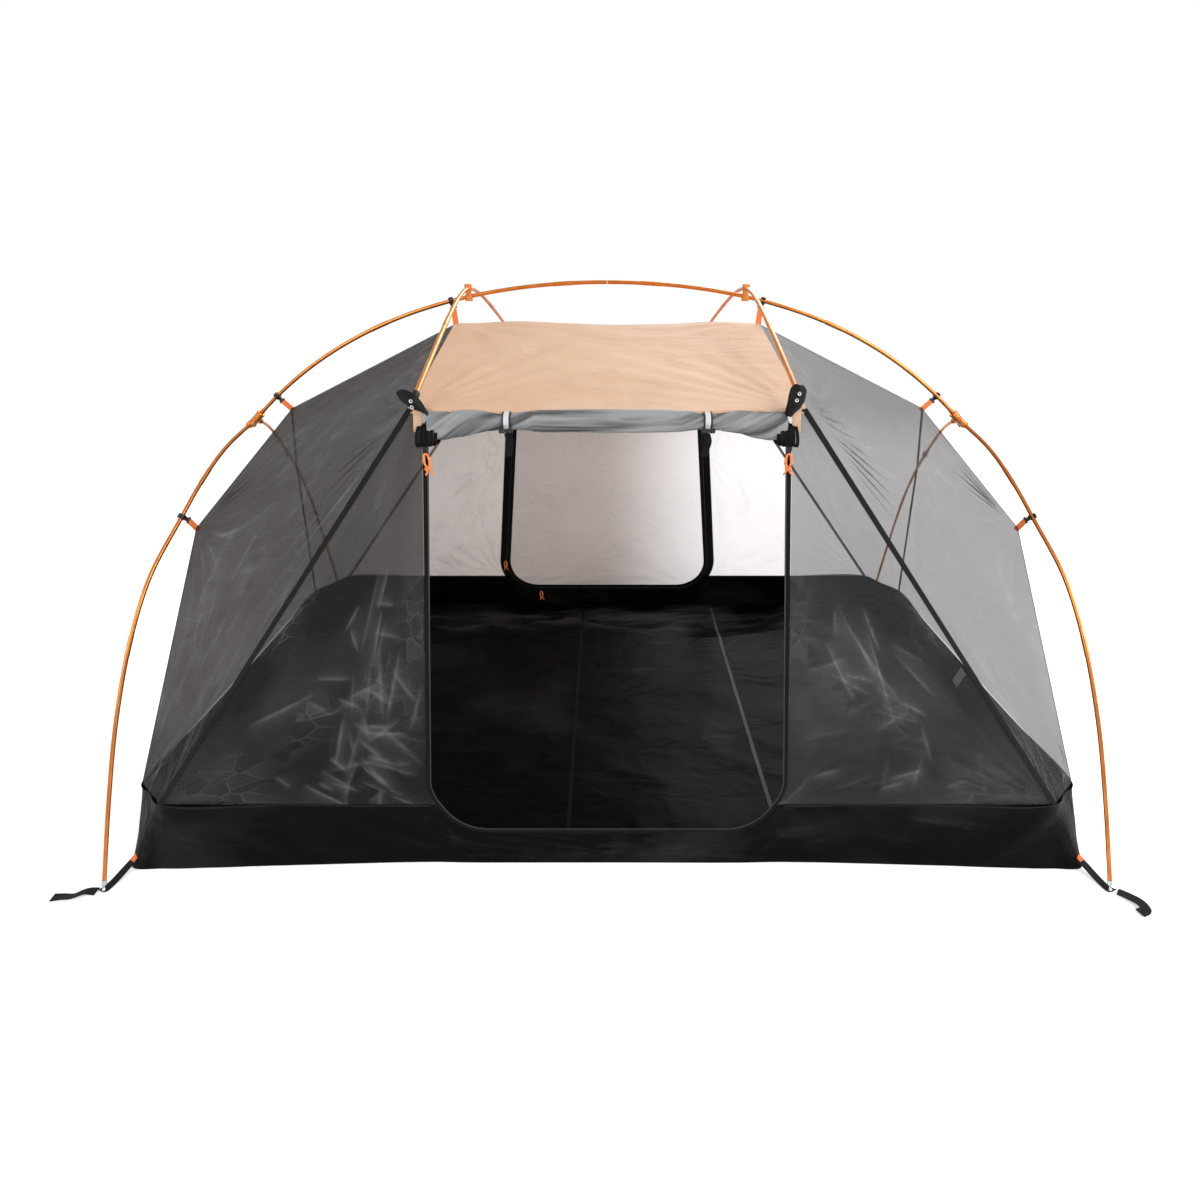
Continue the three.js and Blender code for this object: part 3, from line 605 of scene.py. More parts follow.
foot_line, rim_line = ring(FOOT_QUARTER), ring(RIM_QUARTER)
HEM_SHARE = 0.12
HEM_WIDTH = 0.035


def tub_wall(u, v):
    foot, rim = on_ring(foot_line, u), on_ring(rim_line, u)
    if v < HEM_SHARE:
        inward = (1.0 - v / HEM_SHARE) * HEM_WIDTH
        return foot - foot.normalized() * inward + Vector((0, 0, 0.0008))
    top = notch(rim.x) / TUB_HEIGHT if abs(foot.y) > 0.6 and abs(rim.x) < 0.45 else 1.0
    return foot.lerp(rim, top * (v - HEM_SHARE) / (1.0 - HEM_SHARE)) + Vector((0, 0, 0.0008))


def wall_folds(u, v):
    if v < HEM_SHARE:
        return 0.0
    foot = on_ring(foot_line, u)
    up = (v - HEM_SHARE) / (1.0 - HEM_SHARE)
    to_corner = math.hypot(abs(foot.x) - 1.05, abs(foot.y) - 0.64)
    slack = math.sin(math.pi * min(up, 1.0)) ** 0.7
    calm = min(1.0, to_corner / 0.10)
    buckle = 0.004 * math.exp(-to_corner / 0.20) * math.sin(48 * to_corner + 7.0 * up)
    lazy = 0.008 * noise.noise(Vector((4.2 * foot.x, 4.2 * foot.y, 1.4 * up + 3.0)))
    sharp = 0.006 * (0.5 - abs(noise.noise(Vector((9.0 * foot.x + 3.0 * up, 9.0 * foot.y, 2.2 * up)))))
    return calm * slack * (buckle + lazy + sharp)


def foot_width(x):
    table = FOOT_QUARTER[:7]
    for (x0, y0), (x1, y1) in zip(table, table[1:]):
        if abs(x) <= x1:
            return y0 + (y1 - y0) * (abs(x) - x0) / (x1 - x0)
    return table[-1][1]


def floor_height(x, y):
    """The floor's slack: long lazy waves, sharper ones towards the rear, and flat along the foot."""
    edge = min(1.0, 8.0 * (0.66 - abs(y)), 8.0 * (1.07 - abs(x)))
    waves = noise.noise(Vector((2.3 * x, 3.1 * y, 0.4)))
    ridges = 1.0 - abs(noise.noise(Vector((3.4 * x + 1.7, 5.5 * y, 2.1)))) * 3.0
    bunched = 0.35 + 2.6 * max(0.0, y - 0.15) ** 1.5
    return 0.0022 + max(0.0, edge) * bunched * (0.008 * max(0.0, waves) + 0.011 * max(0.0, ridges))


def floor_sheet(u, v):
    x = (2 * u - 1) * 1.052
    y = (2 * v - 1) * (foot_width(x) - 0.004)
    return Vector((x, y, floor_height(x, y)))


coated = cloth_finish(
    "coated_nylon", (0.0022, 0.0020, 0.0019), (0.040, 0.038, 0.036), (0.32, 0.44),
    (5200.0, 7.0, 1.6), (0.00004, 0.008), 0.5, Specular_IOR_Level=0.07,
)
# Painted highlights along fold lines lighten the walls and the floor, growing stronger towards the floor's
# rear.
WALL_LINES = fold_lines(4, 260, (3.45, 0.11), (2.4, 0.04), 0.16, 0.0)
tub = cloth(
    "bathtub_walls", 900, 30, tub_wall, (6.9, 0.20), wall_folds,
    fold_lights=lambda u, v: 0.45 * fold_highlight(6.9 * u, 0.2 * v, WALL_LINES, 0.003),
)
dress(facing_out(tub, (0.0, 0.0, 0.07)), coated, replaces=["bathtub_floor"])
FLOOR_LINES = fold_lines(8, 90, (1.05, 1.17), (0.55, 0.05), 0.34, 0.05)
FLOOR_LINES += fold_lines(9, 30, (1.05, 0.6), (0.6, 0.3), 0.4, 0.1)
floor_cloth = cloth(
    "floor_cloth", 300, 190, floor_sheet, (2.104, 1.30),
    fold_lights=lambda u, v: min(1.0, (0.8 + 1.6 * v**4) * fold_highlight(2.104 * u, 1.3 * v, FLOOR_LINES, 0.0045)),
)
dress(facing_out(floor_cloth, (0.0, 0.0, -2.0)), coated)

seam_grey = cloth_finish(
    "seam_tape", (0.030, 0.030, 0.030), (0.11, 0.11, 0.11), (0.4, 0.55), (3000.0, 30.0), (0.00003, 0.001),
    Specular_IOR_Level=0.2,
)
seam_dim = cloth_finish(
    "seam_tape_dim", (0.004, 0.004, 0.004), (0.012, 0.012, 0.012), (0.4, 0.55), (3000.0, 30.0),
    (0.00003, 0.001), Specular_IOR_Level=0.1,
)
FLOOR_SEAMS = (
    ("floor_seam_right", 0.402, 0.010, seam_grey), ("floor_seam_middle", -0.092, 0.009, seam_dim),
)
for name, x, width, finish in FLOOR_SEAMS:
    rows = [y / 60 * 0.6 for y in range(-60, 61)]
    path = [Vector((x, y, floor_height(x, y) + 0.0016)) for y in rows]
    tape = ribbon(name, path, Vector((1, 0, 0)), width, 0.0004)
    dress(tape, finish)


# ---- Netting ----
# Fine grey no-see-um netting in ten panels: one along the foot of each long wall on both sides of the door,
# four shoulders from the ridge to the corners and one at each end, sewn edge to edge and pulled taut.
ROOF_CLIP = Vector((0.359, 0.0, 1.072))
EAVE = Vector((0.322, 0.597, 0.985))
HUB_CLIP = Vector((0.791, 0.0, 0.875))
LEG_CLIP = Vector((0.938, 0.275, 0.660))
TUB_SIDE = Vector((0.980, 0.605, TUB_HEIGHT))
TUB_END = Vector((1.080, 0.514, 0.120))
KNEE = 0.36
WALL_LEAN = (TUB_SIDE.y - EAVE.y) / (EAVE.z - TUB_HEIGHT)
TUB_LEAN = 0.25
DOOR_TOP_HALF = 0.297
DOOR_SPREAD = 0.109
FLAP_WIDTH = 0.013


def wall_y(z):
    if z > TUB_HEIGHT:
        return TUB_SIDE.y - WALL_LEAN * (z - TUB_HEIGHT)
    return TUB_SIDE.y + TUB_LEAN * (TUB_HEIGHT - z)


def door_edge(z, offset):
    if z >= CORNER_Z:
        return DOOR_TOP_HALF + DOOR_SPREAD * (EAVE.z - z) + offset
    return CORNER_X + math.sqrt(max(0.0, (DOOR_CORNER + offset) ** 2 - (CORNER_Z - z) ** 2))


def bent(first, knee, last, v):
    """The point at v on an edge that bends at a clip or a pocket."""
    v = min(max(v, 0.0), 1.0)
    return first.lerp(knee, v / KNEE) if v < KNEE else knee.lerp(last, (v - KNEE) / (1.0 - KNEE))


def softened(edges, u, v):
    """The sheet between two bent edges, with the bend spread out towards the middle of the cloth."""
    soft = 0.20 * math.sin(math.pi * u) * math.sin(math.pi * v)
    total = Vector((0, 0, 0))
    for shift in (-1.0, -0.5, 0.0, 0.5, 1.0):
        at = v + shift * soft
        total += bent(*edges[0], at).lerp(bent(*edges[1], at), u)
    return total / 5


def tension(u, v, corners, seed):
    """Creases that fan out of the corners, over the slight waviness of netting pulled unevenly."""
    frame_off = min(1.0, 9 * u, 9 * (1 - u), 12 * v, 12 * (1 - v))
    lift = 0.0045 * noise.noise(Vector((2.4 * u, 6.5 * v, seed)))
    for at_u, at_v, count, depth in corners:
        du, dv = u - at_u, 1.7 * (v - at_v)
        away = math.hypot(du, dv)
        fan = math.sin(count * math.atan2(dv, du) + seed)
        lift += depth * min(1.0, 6 * away) * math.exp(-away / 0.33) * fan
    return max(0.0, frame_off) * lift


def pleat_highlight(u, v, corners, seed):
    """Painted highlights along the pleats that the netting is drawn into, fanning out of its corners."""
    bright = 0.0
    for at_u, at_v, count, depth in corners:
        du, dv = u - at_u, 1.7 * (v - at_v)
        away = math.hypot(du, dv)
        bend = 0.5 * noise.noise(Vector((3 * u, 5 * v, seed)))
        line = math.sin(count * (math.atan2(dv, du) + bend) + seed)
        uneven = max(0.0, 0.2 + noise.noise(Vector((5 * u, 8 * v, seed + 2.0))) * 1.6)
        bright += min(1.0, 5 * away) * math.exp(-away / 0.42) * max(0.0, line) ** 6 * uneven
    return min(1.0, bright)


def painted_net_look(tree, x, tone, left, right, turn):
    """One side's painted light from the tent's left to its right, each (share covered, dark tone, light
    tone).
    """
    limits = {"From Min": turn[0], "From Max": turn[1]}
    span = output("Result", tree, "MapRange", {"Value": x, **limits}, interpolation_type="SMOOTHSTEP")
    tones = {
        "Factor": span,
        "A": tinted(tree, tone, left[1], left[2], 0.45, 1.0),
        "B": tinted(tree, tone, right[1], right[2], 0.45, 1.0),
    }
    cover = output("Result", tree, "MapRange", {"Value": span, "To Min": left[0], "To Max": right[0]})
    return output("Result", tree, "Mix", tones, data_type="RGBA"), cover


def netting(name, outside, inside):
    """Netting is dark from outside and pale from inside. The pale inside is painted light, standing for
    daylight coming through it, and both sides are painted lighter and more see-through towards the right,
    as if lit from there. Creases both thicken it and carry painted highlights."""
    made, tree, shader = dressed(name, Roughness=0.62, Specular_IOR_Level=0.12)
    threads = woven(tree, 5600.0, 15.0, 1.9)
    x = output("X", tree, "SeparateXYZ", {0: output("Object", tree, "TexCoord")})
    net_fold_light = output("Fac", tree, "Attribute", attribute_name="fold_light")
    # Painted shading on creased facets, and painted highlights along crease ridges and along folds.
    lit = maths(tree, "MULTIPLY", threads["Facets"], 0.08)
    ridge_and_facet_light = maths(tree, "MULTIPLY_ADD", threads["Ridges"], 0.10, lit)
    bright = maths(tree, "MULTIPLY_ADD", net_fold_light, 0.44, ridge_and_facet_light)
    even = maths(tree, "MULTIPLY_ADD", threads["Tone"], 0.35, 0.30)
    tone = maths(tree, "ADD", even, bright)
    within = output("Backfacing", tree, "NewGeometry")
    outer, inner = (painted_net_look(tree, x, tone, *look) for look in (outside, inside))
    colour, cover = (
        output(
            "Result", tree, "Mix", {"Factor": within, "A": outer[part], "B": inner[part]}, data_type=kind,
        )
        for part, kind in enumerate(("RGBA", "FLOAT"))
    )
    limits = {"To Min": -0.07, "To Max": 0.05}
    holes = output("Result", tree, "MapRange", {"Value": threads["Threads"], **limits})
    open_part = maths(tree, "ADD", cover, holes)
    feed(tree, shader, {
        "Base Color": colour,
        "Alpha": maths(tree, "MULTIPLY_ADD", bright, 0.22, open_part, use_clamp=True),
        "Normal": output("Normal", tree, "Bump", {"Height": threads["Creases"], "Distance": 0.006}),
    })
    return made


# Painted light: the netting is lighter and more see-through towards the right, and pale from inside.
OUTSIDE_PAINTED_LIGHT = (
    (0.82, (0.013, 0.013, 0.013), (0.19, 0.19, 0.188)),
    (0.60, (0.036, 0.036, 0.037), (0.26, 0.26, 0.264)),
    (-0.3, 0.3),
)
INSIDE_PAINTED_LIGHT = (
    (0.74, (0.58, 0.41, 0.34), (0.72, 0.58, 0.52)),
    (0.42, (0.62, 0.50, 0.47), (0.72, 0.66, 0.64)),
    (0.0, 0.5),
)
grey_net = netting("netting", OUTSIDE_PAINTED_LIGHT, INSIDE_PAINTED_LIGHT)
SHOULDER_EDGES = ((ROOF_CLIP, EAVE, TUB_SIDE), (HUB_CLIP, LEG_CLIP, TUB_END))
SHOULDER_CREASES = [
    (0.0, KNEE, 26, 0.006), (1.0, KNEE, 22, 0.005), (0.0, 0.0, 14, 0.004), (1.0, 1.0, 18, 0.004),
    (0.0, 1.0, 18, 0.004),
]
WALL_CREASES = [(0.5, 1.0, 12, 0.002), (1.0, 0.0, 20, 0.004), (0.0, 0.0, 20, 0.005), (0.0, 0.55, 13, 0.004)]
END_CREASES = [(0.0, KNEE, 24, 0.005), (1.0, KNEE, 24, 0.005), (0.5, 1.0, 10, 0.003)]
for end, sign_x in ENDS.items():
    for side, sign_y in SIDES.items():
        flip = (sign_x, sign_y)
        edges = [[mirror(p, *flip) for p in row] for row in SHOULDER_EDGES]
        seed = 2.0 * sign_x + 0.7 * sign_y
        # Each panel's folds and pleats carry painted highlights, kept with its vertices.
        shoulder_lines = fold_lines(seed, 14, (0.23, 0.85), (0.10, 0.35), 0.34, 1.45)
        shoulder = cloth(
            f"shoulder_net_{side}_{end}", 90, 170, lambda u, v: softened(edges, u, v), (0.46, 1.55),
            lambda u, v: tension(u, v, SHOULDER_CREASES, seed),
            fold_lights=lambda u, v: (
                pleat_highlight(u, v, SHOULDER_CREASES, seed) + fold_highlight(0.46 * u, 1.5 * v, shoulder_lines)
            ),
        )
        dress(facing_out(shoulder), grey_net, replaces=[f"shoulder_mesh_{side}_{end}"])

        count, focus = (40, (0.17, 0.26)) if end == "left" else (16, (0.24, 0.28))
        wall_lines = fold_lines(seed + 40, count, focus, (0.10, 0.13), 0.19)
        wall_lines += fold_lines(seed + 50, count // 2, (0.12, 0.05), (0.11, 0.05), 0.13, 0.4)
        wall_lines += fold_lines(seed + 60, 6, focus, (0.10, 0.10), 0.30, 1.7)

        def wall_net(u, v):
            z = TUB_HEIGHT + (EAVE.z - TUB_HEIGHT) * v
            inner = door_edge(z, TAPE_HALF + (FLAP_WIDTH if sign_y > 0 else 0.0))
            outer = TUB_SIDE.x + (EAVE.x - TUB_SIDE.x) * v
            return Vector((sign_x * (inner + (outer - inner) * u), sign_y * wall_y(z), z))

        wall = cloth(
            f"wall_net_{side}_{end}", 130, 190, wall_net, (0.60, 0.85),
            lambda u, v: tension(u, v, WALL_CREASES, seed + 4),
            fold_lights=lambda u, v: fold_highlight(0.6 * u, 0.85 * v, wall_lines, 0.0042),
        )
        dress(facing_out(wall), grey_net, replaces=[f"{side}_mesh_{end}"])

    end_edges = [[mirror(p, sign_x, sign_y) for p in SHOULDER_EDGES[1]] for sign_y in (-1, 1)]
    # The end panel's pleats carry painted highlights, kept with its vertices.
    end_net = cloth(
        f"end_net_{end}", 90, 110, lambda u, v: softened(end_edges, u, 0.004 + 0.996 * v), (1.03, 0.90),
        lambda u, v: tension(u, v, END_CREASES, sign_x + 9.0),
        fold_lights=lambda u, v: pleat_highlight(u, v, END_CREASES, sign_x + 9.0),
    )
    dress(facing_out(end_net), grey_net, replaces=[f"end_mesh_{end}"])


# ---- Roof ----
# Beige ripstop nylon between the four eave pockets and the two roof clips, hemmed over each door. It is
# stretched across its width and sags a little along the eaves, with fine creases out of its corners.
ROOF_CORNER = Vector((0.308, 0.597, 0.988))


def roof_sheet(u, v):
    out, side = abs(2 * v - 1), 2 * u - 1
    half = ROOF_CLIP.x + (EAVE.x - ROOF_CLIP.x) * out
    droop = 0.006 * out * (1 - side * side)
    z = ROOF_CLIP.z - (ROOF_CLIP.z - EAVE.z) * out**1.15 - droop
    return Vector((side * half, (2 * v - 1) * ROOF_CORNER.y, z + 0.0012))


def roof_creases(u, v):
    corners = [(a, b, 30, 0.0022) for a in (0.0, 1.0) for b in (0.0, 1.0)]
    corners += [(a, 0.5, 16, 0.002) for a in (0.0, 1.0)]
    return 1.3 * tension(u, v, corners, 5.0) + 0.0025 * noise.noise(Vector((5 * u, 12 * v, 1.0)))


roof_nylon = cloth_finish(
    "beige_ripstop", (0.62, 0.39, 0.25), (0.72, 0.48, 0.325), (0.55, 0.7),
    (1250.0, 7.0, 1.8), (0.00005, 0.010), Specular_IOR_Level=0.3,
)
roof = cloth("roof_cloth", 120, 200, roof_sheet, (0.72, 1.22), roof_creases, 0.0006)
dress(roof, roof_nylon, replaces=["roof_panel"])
for side, sign_y in SIDES.items():
    hem_path = [
        roof_sheet(i / 40, 0.5 + 0.5 * sign_y) + Vector((0, sign_y * 0.0008, -0.003)) for i in range(41)
    ]
    hem = ribbon(f"roof_hem_{side}", hem_path, Vector((0, -0.25 * sign_y, 1)), 0.009, 0.0016)
    dress(hem, roof_nylon)


# ---- Seams ----
# Every edge where two panels meet is bound in woven tape: dark and wide from the eaves down to the bathtub,
# dark and narrow along the ridge, the shoulders and the bathtub's top, and beige at the roof's two ends.
binding = cloth_finish(
    "dark_binding", (0.007, 0.007, 0.0072), (0.014, 0.014, 0.0145), (0.6, 0.8), (4200.0, 40.0),
    (0.0001, 0.0006), Specular_IOR_Level=0.15,
)


def seam(name, path, side, width, material=binding):
    return dress(ribbon(name, path, side, width, 0.0009), material)


def straight(a, b, steps=24, flip=(1, 1)):
    return [mirror(a.lerp(b, i / steps), *flip) for i in range(steps + 1)]


NARROW = 0.007
for end, sign_x in ENDS.items():
    ridge_seam = straight(ROOF_CLIP, HUB_CLIP, 24, (sign_x, 1))
    seam(f"ridge_seam_{end}", [p + Vector((0, 0, 0.0008)) for p in ridge_seam], Vector((0, 1, 0)), NARROW)
    for side, sign_y in SIDES.items():
        flip = (sign_x, sign_y)
        lift = mirror(Vector((0.0, 0.0012, 0.0006)), *flip)
        wide = [p + lift for p in straight(EAVE, TUB_SIDE, 40, flip)]
        seam(f"eave_seam_{side}_{end}", wide, mirror(Vector((0.96, -0.14, 0.24)), *flip), 0.010)
        edge = straight(HUB_CLIP, LEG_CLIP, 24, flip) + straight(LEG_CLIP, TUB_END, 30, flip)[1:]
        seam(f"shoulder_seam_{side}_{end}", edge, mirror(Vector((-0.55, 0.75, 0.35)), *flip), NARROW)
        roof_edge = [p + Vector((0, 0, 0.0022)) for p in straight(ROOF_CLIP, EAVE, 24, flip)]
        seam(f"roof_seam_{side}_{end}", roof_edge, Vector((1, 0, 0)), 0.006, roof_nylon)


def rim_binding(sign_x):
    """The bathtub's top edge from the front zip round one end to the rear zip."""
    count = len(rim_line) - 1
    picked = [rim_line[i] for i in range(count) if sign_x * rim_line[i].x > 0.385]
    picked.sort(key=lambda p: math.atan2(p.y, sign_x * p.x))
    return picked


for end, sign_x in ENDS.items():
    picked = rim_binding(sign_x)
    outward = [Vector((p.x * 0.02, p.y * 0.05, 1.0)).normalized() for p in picked]
    path = [p + p.normalized() * 0.0012 - Vector((0, 0, 0.003)) for p in picked]
    seam(f"rim_binding_{end}", path, outward, NARROW)


# ---- Door zips ----
# Each door opening is edged with black zip tape, its coil on the inner edge, down both sides and along the
# bottom. Black sliders run on them, each with a loop of orange cord knotted to it as a pull.
ZIP_TOP = 0.936


def door_line(offset, top, bottom_steps=24):
    """The door's outline as (x, z), from its top left down, across and up again."""
    reach = DOOR_CORNER + offset
    turn = [
        (
            CORNER_X + reach * math.sin(i / 14 * math.pi / 2),
            CORNER_Z - reach * math.cos(i / 14 * math.pi / 2),
        )
        for i in range(15)
    ]
    rise = [CORNER_Z + (top - CORNER_Z) * i / 24 for i in range(1, 25)]
    right = turn + [(door_edge(z, offset), z) for z in rise]
    left = [(-x, z) for x, z in reversed(right)]
    between = [
        (-CORNER_X + 2 * CORNER_X * i / bottom_steps, CORNER_Z - reach) for i in range(1, bottom_steps)
    ]
    return left + between + right


def door_tape(name, offset, top, sign_y, off, width, material, body="tent", replaces=(), thickness=0.0011):
    """Tape along the door's outline, its width in the plane of the wall."""
    line = door_line(offset, top)
    path, ways = [], []
    for i, (x, z) in enumerate(line):
        (x0, z0), (x1, z1) = line[max(0, i - 1)], line[min(len(line) - 1, i + 1)]
        out_x, out_z = z0 - z1, x1 - x0
        slope = -WALL_LEAN if z > TUB_HEIGHT else -TUB_LEAN
        path.append(Vector((x, sign_y * (wall_y(z) + off), z)))
        ways.append(Vector((out_x, sign_y * slope * out_z, out_z)).normalized())
    return dress(ribbon(name, path, ways, width, thickness), material, body, replaces)


def ribbed(name, roughness, scale, distortion, bands, dark, light):
    """A zip's coil or braided cord: fine ribs across it, with a painted highlight on their crests."""
    made, tree, shader = dressed(name, Roughness=roughness)
    waves = {"Vector": output("Object", tree, "TexCoord"), "Scale": scale, "Distortion": distortion}
    rows = output("Fac", tree, "TexWave", waves, bands_direction=bands)
    bump = output("Normal", tree, "Bump", {"Height": rows, "Distance": 0.0004})
    feed(tree, shader, {"Base Color": tinted(tree, rows, dark, light), "Normal": bump})
    return made


coil_finish = ribbed("zip_coil", 0.42, 130.0, 0.0, "Z", (0.010, 0.010, 0.011), (0.05, 0.05, 0.052))
zip_black = cloth_finish(
    "zip_tape_black", (0.003, 0.003, 0.0032), (0.008, 0.008, 0.0082), (0.65, 0.85), (4600.0, 30.0),
    (0.0001, 0.0005), Specular_IOR_Level=0.15,
)


def coil(name, offset, top, sign_y, off, body="tent"):
    path = [Vector((x, sign_y * (wall_y(z) + off), z)) for x, z in door_line(offset, top)]
    return dress(tube(name, path, 0.0013, 2), coil_finish, body)


door_tape("front_zip_tape", 0.001, ZIP_TOP, -1, 0.0, 0.0085, zip_black, replaces=["front_zip_track"])
coil("front_zip_coil", -0.0036, ZIP_TOP, -1, 0.0008)
door_tape("rear_zip_tape", 0.0, ZIP_TOP, 1, 0.0, 2 * TAPE_HALF, zip_black, replaces=["rear_zip_track"])
coil("rear_zip_coil", -0.0058, ZIP_TOP, 1, -0.0006)
door_tape("rear_storm_flap", TAPE_HALF + FLAP_WIDTH / 2, 0.975, 1, 0.0022, FLAP_WIDTH + 0.003, zip_black)

slider_metal = hard_finish(
    "black_slider", (0.02, 0.02, 0.022), (0.07, 0.07, 0.075), (0.25, 0.45), 0.8, 300.0,
)
cord_finish = ribbed("orange_cord", 0.75, 160.0, 2.0, "DIAGONAL", (0.86, 0.16, 0.02), (1.0, 0.42, 0.13))


def pull_loop(name, body, tilt):
    """Two turns of cord through the slider's eye, tied in one knot below, with two short tails."""
    low, high = (Vector(corner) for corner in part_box(body))
    top = Vector(((low.x + high.x) / 2, (low.y + high.y) / 2, high.z - 0.0022))
    drop = high.z - low.z

    def at(across, down, out=0.0):
        return top + Vector((across + tilt * down, out, -down))

    for strand, wide, deep, out in (("a", 1.0, 1.0, 0.0002), ("b", 0.75, 0.86, -0.0020)):
        legs = [at(-0.0012, 0.62 * drop, out), at(-0.0050 * wide, 0.46 * drop, out)]
        legs += [at(-0.0046 * wide, 0.22 * drop), at(-0.0016, 0.03 * drop), at(0.0016, 0.02 * drop)]
        legs += [at(0.0050 * wide, 0.20 * drop * deep)]
        legs += [at(0.0054 * wide, 0.44 * drop, out), at(0.0014, 0.62 * drop, out)]
        strand_tube = tube(f"{name}_{strand}", through(legs, 6), 0.0017, 2)
        dress(strand_tube, cord_finish, body, [body] if strand == "a" else [])
    turns = [i * 0.55 for i in range(17)]
    knot = [
        at(0.0040 * math.cos(a), 0.66 * drop + 0.0022 * math.sin(2 * a), 0.0024 * math.sin(a) - 0.0024)
        for a in turns
    ]
    dress(tube(name + "_knot", through(knot, 3), 0.0019, 2), cord_finish, body)
    for tail, lean in (("c", -0.26), ("d", 0.34)):
        ends = [at(0.0, 0.66 * drop), at(lean * 0.010, 0.80 * drop), at(lean * 0.026, 0.97 * drop)]
        dress(tube(f"{name}_tail_{tail}", through(ends, 4), 0.0016, 2), cord_finish, body)


PULL_TILTS = {"front_left": 0.10, "front_right": 0.04, "rear_side": 0.0, "rear_bottom": 0.05}
for place_name, tilt in PULL_TILTS.items():
    pull_loop(f"pull_loop_{place_name}", f"zip_pull_{place_name}", tilt)
    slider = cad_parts[f"zip_slider_{place_name}"]
    slider.data.materials.clear()
    slider.data.materials.append(slider_metal)


# ---- Rear door ----
# A panel of the same netting, zipped shut, hung from the seam under the rear eave, with its own half of the
# zip tape down both sides and along the bottom. It swings out in one piece from that seam.
DOOR_HEM = 0.0165


def rear_door(u, v):
    low = DOOR_BOTTOM + DOOR_HEM
    z = low + (EAVE.z - 0.002 - low) * v**1.3
    return Vector(((1 - 2 * u) * door_edge(z, -DOOR_HEM), wall_y(z) + 0.0002, z))


# Painted light: from inside the door is a warm pale, as if daylight came through it, paler and more
# see-through towards the right.
DOOR_INSIDE_PAINTED_LIGHT = (
    (0.83, (0.50, 0.35, 0.285), (0.56, 0.43, 0.38)),
    (0.48, (0.54, 0.42, 0.39), (0.66, 0.58, 0.56)),
    (-0.05, 0.42),
)
door_net = netting("netting_door", OUTSIDE_PAINTED_LIGHT, DOOR_INSIDE_PAINTED_LIGHT)
# Painted highlights along a few folds of the door.
DOOR_LINES = fold_lines(3, 12, (0.4, 0.4), (0.2, 0.3), 0.4, 1.2)
DOOR_CREASES = [(0.0, 0.0, 16, 0.004), (1.0, 0.0, 16, 0.004), (0.5, 1.0, 14, 0.002)]
door = cloth(
    "rear_door_net", 90, 110, rear_door, (0.78, 0.90),
    lambda u, v: tension(u, v, DOOR_CREASES, 3.0),
    fold_lights=lambda u, v: 0.3 * fold_highlight(0.78 * u, 0.9 * v, DOOR_LINES),
)
dress(facing_out(door), door_net, "rear_door", ["rear_door"])
door_tape("rear_door_tape", -0.0125, 0.975, 1, -0.0012, 0.0125, zip_black, "rear_door")


# ---- Rolled front door ----
# The front door's netting, rolled up to the eave into a loose bundle, with its black zip edge wound round
# both ends. Two grey reflective ties with black edges hold it, each with a black toggle through its loop.
ROLL_HALF = 0.294
ROLL_Y = -0.597
ROLL_Z = 0.962
ROLL_DEEP = 0.0185
ROLL_HIGH = 0.0165
TIE_AT = 0.164
TIE_WIDTH = 0.014
FIRST_WINDING = 0.2805
WINDING_PITCH = 0.0064
WINDING_WIDTH = 0.0052
ALONG_X = Vector((1, 0, 0))
TOGGLE_HALF = [(0.0031, 0.0022), (0.0040, 0.0032), (0.0040, 0.0100), (0.0030, 0.011), (0.0, 0.011)]
TOGGLE_PROFILE = [(radius, -height) for radius, height in reversed(TOGGLE_HALF)] + TOGGLE_HALF


def bundle(x):
    """The bundle's half height and its middle's height at x: pinched by the ties, fuller at the ends."""
    pinch = math.exp(-(((abs(x) - TIE_AT) / 0.034) ** 2))
    fuller = min(1.0, max(0.0, (abs(x) - 0.185) / 0.085)) ** 1.5
    return ROLL_HIGH * (1.08 - 0.32 * pinch + 0.34 * fuller), ROLL_Z + 0.004 - 0.008 * fuller


def folds_of_roll(x, angle):
    """Loose layers that run along the bundle and twist towards its ends, from -1 to 1."""
    twist = 6.0 * max(0.0, abs(x) - 0.12) * (1 if x > 0 else -1)
    round_it = Vector((math.cos(angle + 5 * twist), math.sin(angle + 5 * twist), 0.0))
    soft = noise.noise(1.3 * round_it + Vector((0, 0, 7 * x)))
    fine = noise.noise(3.4 * round_it + Vector((5.0, 0, 13 * x)))
    layers = math.sin(3 * (angle + 5 * twist) + 6 * x + 3.0 * soft)
    return 0.30 * layers + 0.75 * soft + 0.40 * (0.5 - 2.0 * abs(fine))


def rolled(u, v):
    """Round the bundle with u and along it with v."""
    x, angle = (2 * v - 1) * ROLL_HALF, 2 * math.pi * u
    high, middle = bundle(x)
    size = 1.0 + 0.13 * folds_of_roll(x, angle)
    return Vector((x, ROLL_Y + ROLL_DEEP * size * math.cos(angle), middle + high * size * math.sin(angle)))


def closed_round(piece):
    """Joins the seam of a piece whose grid goes once round, and closes its two ends."""
    only(piece)
    bpy.ops.object.mode_set(mode="EDIT")
    bpy.ops.mesh.select_all(action="SELECT")
    bpy.ops.mesh.remove_doubles(threshold=1e-5)
    bpy.ops.mesh.fill_holes(sides=0)
    bpy.ops.mesh.normals_make_consistent(inside=False)
    bpy.ops.object.mode_set(mode="OBJECT")
    return piece


